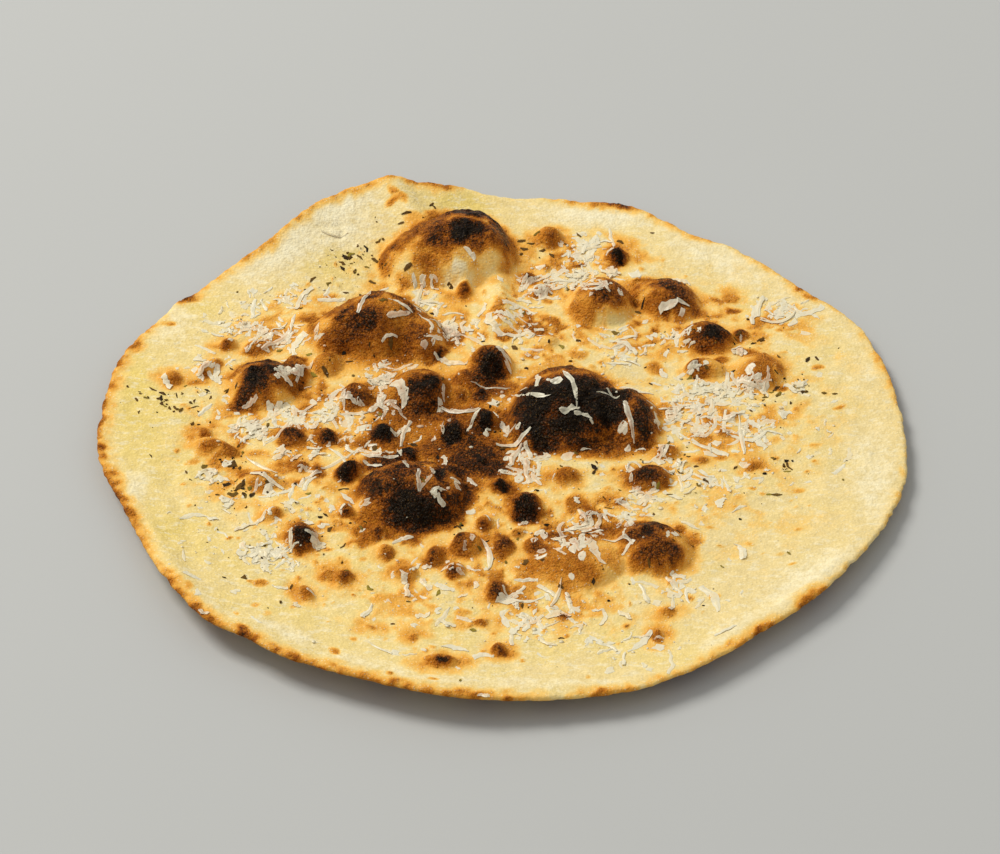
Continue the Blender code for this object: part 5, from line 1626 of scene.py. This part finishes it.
# %% [markdown]
# ## Chips and films
#
# Between the shreds lie flat bits: broken chips, and films so thin that the crust shows through.
# Each is the nine-sided template with its corners pushed in and out. A real edge has more corners,
# but these bits are only a few millimetres across.

# %% Chips and films
FILM_COUNT = 560  # small flat chips among the heaps
FILM_SIZE = (2.0, 0.8)  # the curve of chance, in millimetres above one
FILM_LARGEST = 4.2
CHIP_SHARE = 0.55  # how much of a clump is one broad chip under its shreds
CHIP_THICK = (0.5, 0.9)
FILM_THICK = (0.06, 0.16)
RAGGED = 0.5  # how far a corner may be pushed in; out is 0.6 of that
TILT = 0.08
CHIP_SUNK = 0.35


def lay_chips(at, length, width, turn, thick, draw):
    """Turns and sizes one copy of the chip for each place, and drapes it on the crust."""
    places, _ = CHIP
    count = len(at)
    spoke = np.round(np.arctan2(places[:, 1], places[:, 0]) * CHIP_SIDES / math.tau).astype(int)
    uneven = draw.uniform(1.0 - RAGGED, 1.0 + 0.6 * RAGGED, (count, CHIP_SIDES))[:, spoke]
    along = places[None, :, 0] * uneven * length[:, None]
    across = places[None, :, 1] * uneven * width[:, None]
    cosine, sine = np.cos(turn)[:, None], np.sin(turn)[:, None]
    x = at[:, :1] + along * cosine - across * sine
    y = at[:, 1:] + along * sine + across * cosine
    tilt = draw.uniform(-TILT, TILT, (count, 2))
    height = read_map(crust_top, x, y) + (places[None, :, 2] - CHIP_SUNK) * thick[:, None]
    height += np.abs(tilt[:, :1] * along + tilt[:, 1:] * across)
    return np.stack([x, y, height], axis=-1), read_map(toast_map, x, y)


chips = np.array(CHIPS, float)
chip_at = where_seen(chips[:, 0], chips[:, 1])
film_at = scatter_heaps(HEAPS, 4, draw)
film_at = film_at[draw.permutation(len(film_at))[:FILM_COUNT]]
film_size = 1.0 + draw.gamma(*FILM_SIZE, (FILM_COUNT, 2)).clip(0.0, FILM_LARGEST)
at = np.concatenate([chip_at, film_at])
size = np.concatenate([chips[:, 2:4] * CHIP_SHARE, film_size])
turn = np.concatenate([np.radians(chips[:, 4]), draw.uniform(0, math.tau, FILM_COUNT)])
thick = np.concatenate([draw.uniform(*CHIP_THICK, len(chips)),
                        draw.uniform(*FILM_THICK, FILM_COUNT)])
places, under = lay_chips(at, size[:, 0], size[:, 1], turn, thick, draw)
tint = draw.beta(2.0, 1.6, (len(at), 1)) + towards_rim(CHIP)
tiled_piece("cheese_chips", places, CHIP, cheese, under=under, tint=tint)

# %% [markdown]
# ## Clumps
#
# Where much cheese fell in one place it stuck together: short shreds at all angles round a broad
# chip. A lump of one piece would look like plaster, so every clump is built from its shreds.

# %% Clumps round every broad chip
CLUMP_DENSITY = 0.20  # shreds for each square millimetre of the clump's box
CLUMP_LEAST = 5
CLUMP_SHARE = 0.9  # of the box that the shreds fill
CLUMP_LENGTH = (1.6, 5.0)
CLUMP_WIDTH = (0.7, 2.3)
CLUMP_THICK = (0.12, 0.26)
CLUMP_LIFT = (0.05, 0.7)
CLUMP_TORN = 0.3

counts = np.maximum(CLUMP_LEAST, (chips[:, 2] * chips[:, 3] * CLUMP_DENSITY).astype(int))
owner = np.repeat(np.arange(len(chips)), counts)
count = len(owner)
spread = draw.uniform(-0.5, 0.5, (count, 2)) * chips[owner, 2:4] * CLUMP_SHARE
cosine, sine = np.cos(np.radians(chips[owner, 4])), np.sin(np.radians(chips[owner, 4]))
at = chip_at[owner] + np.column_stack([spread[:, 0] * cosine - spread[:, 1] * sine,
                                       spread[:, 0] * sine + spread[:, 1] * cosine])
length = draw.uniform(*CLUMP_LENGTH, count)
reach = half_reach(length, draw.uniform(0, math.pi, count))
width = draw.uniform(*CLUMP_WIDTH, count)
bend = draw.normal(0, FINE_BEND, count).clip(-120, 120)
thick = draw.uniform(*CLUMP_THICK, count)
lift = draw.uniform(*CLUMP_LIFT, count)
places, under = lay_strips(STRIP, at - reach, at + reach, width, bend, thick, lift,
                           CLUMP_TORN, draw)
tint = draw.uniform(0.15, 0.8, (count, 1)) + towards_rim(STRIP)
tiled_piece("cheese_clumps", places, STRIP, cheese, under=under, tint=tint)

# %% [markdown]
# ## Crumbs
#
# Grating throws off crumbs as small as salt. Each is a little ball, made knobbly, turned, stretched
# and pressed flat. Particles could scatter them, but they would all be alike.

# %% Crumbs and grains
CRUMB_KNOBBLY = (0.65, 1.25)
CRUMB_STRETCH = (0.6, 1.5)
CRUMB_RAISED = 0.35  # of its middle, as a share of its height
CRUMB_SIZE = (2.0, 0.13)  # the curve of chance, in millimetres
CRUMB_FLAT = 0.40  # its height, as a share of its width
SMALLEST = 0.12
KEEP_EVERY = 2  # one in so many of a heap's crumbs is kept


def lay_crumbs(at, size, flat, draw):
    """Knobbly crumbs: each copy of the template is turned, squashed and sunk a little."""
    places, _ = CRUMB
    count = len(at)
    shape = places[None] * draw.uniform(*CRUMB_KNOBBLY, (count, len(places), 1))
    stretch = draw.uniform(*CRUMB_STRETCH, (count, 1))
    turn = draw.uniform(0, math.tau, (count, 1))
    along = shape[..., 0] * stretch
    x = at[:, :1] + size[:, None] * (along * np.cos(turn) - shape[..., 1] * np.sin(turn))
    y = at[:, 1:] + size[:, None] * (along * np.sin(turn) + shape[..., 1] * np.cos(turn))
    ground = read_map(crust_top, at[:, 0], at[:, 1])
    height = ground[:, None] + size[:, None] * flat * (shape[..., 2] + CRUMB_RAISED)
    return np.stack([x, y, height], axis=-1), read_map(toast_map, x, y)


at = scatter_heaps(HEAPS, 5, draw)[::KEEP_EVERY]
size = draw.gamma(*CRUMB_SIZE, len(at)).clip(SMALLEST, 0.9)
places, under = lay_crumbs(at, size, CRUMB_FLAT, draw)
tint = draw.uniform(0.2, 1.0, (len(at), 1))
tiled_piece("cheese_crumbs", places, CRUMB, cheese, under=under, tint=tint)

# %% [markdown]
# ## Herbs and dark specks
#
# Dried oregano leaves, crushed between the fingers: olive green where they were shaded, brown to
# black where they caught the heat. Three flat colours would show where one ends, so one number for
# each leaf slides through all three.

# %% The herb material
LEAF_GREEN = (.300, .225, .030)
LEAF_BROWN = (.125, .062, .012)
LEAF_BLACK = (.012, .009, .006)
LEAF_GRAIN = (1200.0, 500.0)
LEAF_GLOSS = 0.06
LEAF_DULL = 0.6

herb, tree, shader, place = new_material("dried herb")
fine = add_grain(place, *LEAF_GRAIN)
shade = plus(attribute(tree, "tint"), times(fine["Mottle"], 0.5), clamp=True)
leaf = mixed(ranged(shade, 0.0, 0.5), LEAF_BLACK, LEAF_BROWN)
feed(shader.inputs["Base Color"], mixed(ranged(shade, 0.5, 1.0), leaf, LEAF_GREEN))
feed(shader.inputs["Roughness"], plus(times(fine["Specks"], 0.4), LEAF_DULL, clamp=True))
feed(shader.inputs["Specular IOR Level"], LEAF_GLOSS)
add_bump(shader, fine["Height"], 0.0003, 0.8)
print("herb nodes:", len(tree.nodes))

# %% [markdown]
# ## The leaves
#
# A crushed leaf is a small slab that curls, so it is the shred's shape again, short and thin. The
# ones that can be told apart have a row each, and smaller ones fall by chance round them. Modelled
# veins would be lost at two millimetres.

# %% Herb leaves
# (x, y, length, width, turn, tint), by what they hide; the tint goes from black to green.
LEAVES = [
    (-35, 127.5, 4, 1.8, -5, .3), (-26, 133, 2.6, 1.2, 60, .4), (-25, 131.5, 2.2, 1, -50, .3),
    (-37, 121.5, 2.4, 1, 10, .5), (-45, 112, 3, 1.2, 50, .6), (-49.5, 107, 3.6, 1.4, 110, .1),
    (-51.5, 102, 3, 1.2, -40, .4), (-54.5, 103, 3.4, 2.4, 40, .9), (-58, 99, 2.6, 1.6, -30, .5),
    (-53, 94, 2.6, 1.6, 80, .3), (-34, 96.5, 3.4, 2.2, 30, .4), (-46.5, 88, 2.8, 1.6, -40, .5),
    (-62, 86.5, 2.6, 1.8, 60, .7), (-68, 89.5, 3.8, 1.4, 55, .6), (-56, 82, 2.2, 1.2, 0, .3),
    (-18.5, 85.5, 2.8, 1.6, -50, .3), (-25, 70.5, 2.2, 1.6, -30, .2), (7, 111.5, 3.4, 2, 10, .5),
    (8, 107, 3.2, 2, -15, .4), (18, 103, 3.2, 1.8, -50, .4), (23, 109.5, 1.8, 1, -50, .5),
    (28, 115, 3, 1.4, -50, .6), (7.5, 71, 2.6, 1.4, 60, .7), (43, 111, 3, 1.6, -40, .5),
    (48.5, 71, 2.6, 2, -20, .5), (50.5, 76, 3, 1.4, 70, .1), (40.5, 60, 3.2, 2.4, -30, .7),
    (27, 55.5, 1.8, 1.6, 0, .3), (88.5, 67.5, 1.6, .8, 60, .1), (91.5, 56, 3.6, 1.4, 35, .5),
    (89, 54, 2.2, 1.2, 30, .3), (84, 60, 2.4, 1.4, 40, .4), (-92.5, -10, 5, 3.8, 60, .35),
    (-90, -22, 4, 3, 70, .5), (-91.5, -25, 4, 2.6, 0, .6), (-88.5, -21, 3, 1.8, 80, .3),
    (-86, -41, 2, 1.2, 0, .5), (-54, -23, 4, .7, 10, .1), (-66, -25, 2.4, 1.6, 20, .9),
    (-61.5, -37, 1.6, 1.4, 0, .1), (-66, 37, 3.6, 3, -40, .9), (-62, 39, 3.6, 2.2, -50, .4),
    (31.5, -11.5, 3.6, 2, -50, .1), (31.5, -14, 2.4, 1.4, 60, .2), (8.5, 40.5, 1.6, 1.4, 0, .2),
    (10.5, 57.5, 1.8, 1, 45, .4), (61, -14, 3.2, 1, -45, .1), (98.5, -11, 4.6, 1.2, -65, .4),
    (97.5, -14, 2.6, 1.6, 10, .95), (93.5, -25.5, 4, 1.8, 0, .6), (91, -25.5, 2.6, 1.6, 0, .9),
    (92, 55.5, 2, 1, 30, .3), (107.5, 45, 3.2, 1.8, 65, .2), (111, 46, 2.4, 1.4, -60, .3),
    (96, 30, 2.4, 1.8, 40, .2), (96.5, 26.5, 3.2, 2.4, 50, .7), (94, 28, 2, 1.2, 0, .8),
    (82, 32.5, 2.6, 2, 40, .6), (81, 38.5, 1.6, 1.2, 0, .2), (116, 26.5, 2, 1.6, 0, .6),
    (91, 23.5, 1.8, .8, 50, .4), (86.5, 17.5, 1.6, 1, -60, .4), (93, -7, 2, 1.4, -30, .7),
    (80, -12, 2.4, 1.2, 50, .5), (70, -19, 2.6, 1.8, -50, .5), (66.5, -11, 1.8, 1.6, 0, .4),
    (-122, 29.5, 3.4, 1.2, -30, .4), (-118.5, 27, 3, 1.8, -20, .3), (-113.5, 26, 3, .9, -75, .2),
    (-119.5, 24, 1.8, 1.4, 0, .3), (-117, 23.5, 1.4, 1.2, 0, .4), (-113.5, 19, 2.6, 1.4, -60, .5),
    (-111.5, 18, 2.8, 2, 70, .6), (-103, 28.5, 2.4, 1.2, -40, .2), (-107, 23, 2.4, .9, 80, .5),
    (-107, 20, 2.8, .8, 35, .5), (-126, 17.5, 1.8, 1, 80, .4), (-124, 24.5, 2, 1, -20, .8),
    (-120.5, -6, 2.2, .8, -60, .2), (-105, 11, 1.2, .9, 0, .3), (-108, -14, 2.2, 1.2, -60, .5),
    (-93, 31, 2.4, 1, 70, .3), (-96, 28, 2.6, 1.2, 60, .3), (-95, 40, 1.8, .8, -40, .4),
    (-84.5, 28, 2, .8, -50, .3), (-68, 48, 2.4, 1.8, 30, .95), (-57, 69, 1.8, 1.2, -20, .1),
    (-44, -72, 3, 2, -50, .9), (-21.5, -74, 2.6, 1.8, 70, .95), (-31, -78, 1.6, 1, 0, .7),
    (-70, -71, 2.8, 1.2, 70, .4), (-92.5, -66.5, 1.4, 1, 0, .2), (-36, -88.5, 1.6, 1.2, 0, .5),
    (-53.5, -51, 3.4, .7, 55, .5), (-47.5, -42.5, 2.6, 1.6, -70, .7), (-5, -49, 1.8, .9, 40, .1),
    (15, -41, 1.8, 1.4, 20, .1), (13.5, -58, 1.4, 1.2, 0, .3), (36, -32.5, 3, .8, -15, .5),
    (-14.5, -42, 2.8, 1.4, -40, .3), (30.5, -68.5, 1.2, 2.6, 0, .1), (57, -25.5, 2.4, .9, 0, .7),
]
# Where herbs fell thickest: (x, y, half length, half width, grains).
LEAF_HEAPS = [
    (-55, 98, 13, 12, 60), (-30, 120, 14, 9, 26), (-116, 23, 14, 9, 46), (-92, -8, 6, 5, 26),
    (-91, -24, 6, 6, 32), (8, 108, 7, 6, 14), (96, 30, 14, 10, 40), (96, -12, 6, 5, 14),
    (60, -10, 16, 12, 30), (0, 0, 80, 75, 260), (-40, 60, 34, 30, 50), (70, 50, 34, 30, 50),
    (-70, -40, 34, 30, 40), (0, 0, 110, 105, 150),
]
LEAF_LENGTH = 0.9  # of what is listed, because a leaf curls
LEAF_WIDTH = 0.72
FEW = 230  # small leaves that fell by chance
FEW_LENGTH = (3.0, 0.42)  # the curve of chance, in millimetres
FEW_WIDTH = (0.35, 0.80)  # as a share of the length
LEAF_BEND = 50.0
LEAF_THICK = (0.15, 0.35)
LEAF_LIFT = (0.0, 0.3)
LEAF_TORN = 0.12

draw = np.random.default_rng(SEED + 2)
leaves = np.array(LEAVES, float)
few_at = scatter_heaps(LEAF_HEAPS, 4, draw)
few_at = few_at[draw.permutation(len(few_at))[:FEW]]
turn = np.concatenate([np.radians(leaves[:, 4]), draw.uniform(0, math.pi, len(few_at))])
few_length = draw.gamma(*FEW_LENGTH, len(few_at)).clip(0.6, 2.6)
length = np.concatenate([leaves[:, 2] * LEAF_LENGTH, few_length])
at = np.concatenate([where_seen(leaves[:, 0], leaves[:, 1]), few_at])
reach = half_reach(length, turn)
few_width = few_length * draw.uniform(*FEW_WIDTH, len(few_at))
width = np.concatenate([leaves[:, 3] * LEAF_WIDTH, few_width])
bend = draw.normal(0, LEAF_BEND, len(at))
thick = draw.uniform(*LEAF_THICK, len(at))
lift = draw.uniform(*LEAF_LIFT, len(at))
places, _ = lay_strips(LEAF, at - reach, at + reach, width, bend, thick, lift, LEAF_TORN, draw)
tint = np.concatenate([leaves[:, 5], draw.beta(1.4, 1.5, len(few_at))])[:, None]
tiled_piece("herb_leaves", places, LEAF, herb, tint=tint)

# %% [markdown]
# ## Herb dust
#
# The finest bits of herb and of char are grains like the crumbs, but rounder. Painted specks would
# be lighter to make, but real ones stand up and catch the light.

# %% Herb dust and char specks
DUST_SIZE = (2.0, 0.12)  # the curve of chance, in millimetres
DUST_LARGEST = 0.62
DUST_FLAT = 0.7

at = scatter_heaps(LEAF_HEAPS, 4, draw)[::KEEP_EVERY]
size = draw.gamma(*DUST_SIZE, len(at)).clip(SMALLEST, DUST_LARGEST)
places, _ = lay_crumbs(at, size, DUST_FLAT, draw)
tint = draw.beta(1.0, 2.0, (len(at), 1))
tiled_piece("herb_dust", places, CRUMB, herb, tint=tint)

# %% [markdown]
# ## The floor
#
# The bread lies on a plain pale floor, so large that its far edge is never in view. A grey world
# alone would do as a background, but the bread needs a surface for its shadow to fall on.

# %% The floor
FLOOR_SIZE = 10.0
FLOOR_COLOUR = (.455, .454, .428)
FLOOR_DARKER = 0.98  # the darkest of its faint mottle

bm = bmesh.new()
bmesh.ops.create_grid(bm, x_segments=1, y_segments=1, size=FLOOR_SIZE / 2)
floor_mesh = bpy.data.meshes.new("floor")
bm.to_mesh(floor_mesh)
bm.free()
floor = new_object("floor", floor_mesh)
paper, tree, shader, place = new_material("floor paper")
mottle = ranged(add_grain(place, 400.0, 3.0)["Mottle"], -0.3, 0.3)
darker = tuple(FLOOR_DARKER * value for value in FLOOR_COLOUR)
feed(shader.inputs["Base Color"], mixed(mottle, FLOOR_COLOUR, darker))
feed(shader.inputs["Roughness"], 0.8)
floor_mesh.materials.append(paper)
print("floor, metres across:", FLOOR_SIZE)

# %% [markdown]
# ## The light
#
# One soft light stands behind the bread on the left, so the blisters throw short shadows towards
# the viewer's right, and a pale sky fills them in. A sun would be simpler to aim, but its shadows
# have hard edges.

# %% The lights
KEY_PLACE = (-1.75, 1.15, 2.35)
KEY_SIZE = 1.3
KEY_POWER = 82.0
KEY_COLOUR = (1.0, 0.985, 0.96)
FILL_COLOUR = (0.97, 0.985, 1.0)
FILL_STRENGTH = 0.57

lamp_data = bpy.data.lights.new("key", "AREA")
lamp_data.size = KEY_SIZE
lamp_data.energy = KEY_POWER
lamp_data.color = KEY_COLOUR
lamp = bpy.data.objects.new("key", lamp_data)
bpy.context.scene.collection.objects.link(lamp)
lamp.location = KEY_PLACE
lamp.rotation_euler = (-Vector(KEY_PLACE)).to_track_quat("-Z", "Y").to_euler()
world = bpy.data.worlds.new("studio")
world.use_nodes = True
background = world.node_tree.nodes["Background"]
feed(background.inputs["Color"], FILL_COLOUR)
feed(background.inputs["Strength"], FILL_STRENGTH)
bpy.context.scene.world = world
bpy.context.scene.view_settings.view_transform = "Standard"
print("key light to bread, metres:", round(Vector(KEY_PLACE).length, 2))

# %% [markdown]
# ## The camera
#
# The lens is long and looks down at about 41 degrees from a metre and a half away. A shorter one
# could stand nearer, but it would swell the near blisters. It is shifted instead of turned, which
# only moves the bread in the frame.

# %% The camera
ELEVATION = 41.5
DISTANCE = 1.5
AIM = Vector((0.0, 0.0027, 0.0))
SENSOR_WIDTH = 36.0
LENS = 156.6
SHIFT = (-0.002, 0.013)
FAR_CLIP = 20.0

camera_data = bpy.data.cameras.new("camera")
camera_data.sensor_width = SENSOR_WIDTH
camera_data.lens = LENS
camera_data.shift_x, camera_data.shift_y = SHIFT
camera_data.clip_end = FAR_CLIP
camera = bpy.data.objects.new("camera", camera_data)
bpy.context.scene.collection.objects.link(camera)
slope = math.radians(ELEVATION)
camera.location = AIM + DISTANCE * Vector((0.0, -math.cos(slope), math.sin(slope)))
camera.rotation_euler = (math.radians(90.0 - ELEVATION), 0.0, 0.0)
bpy.context.scene.camera = camera
print("camera at, metres:", [round(value, 3) for value in camera.location])
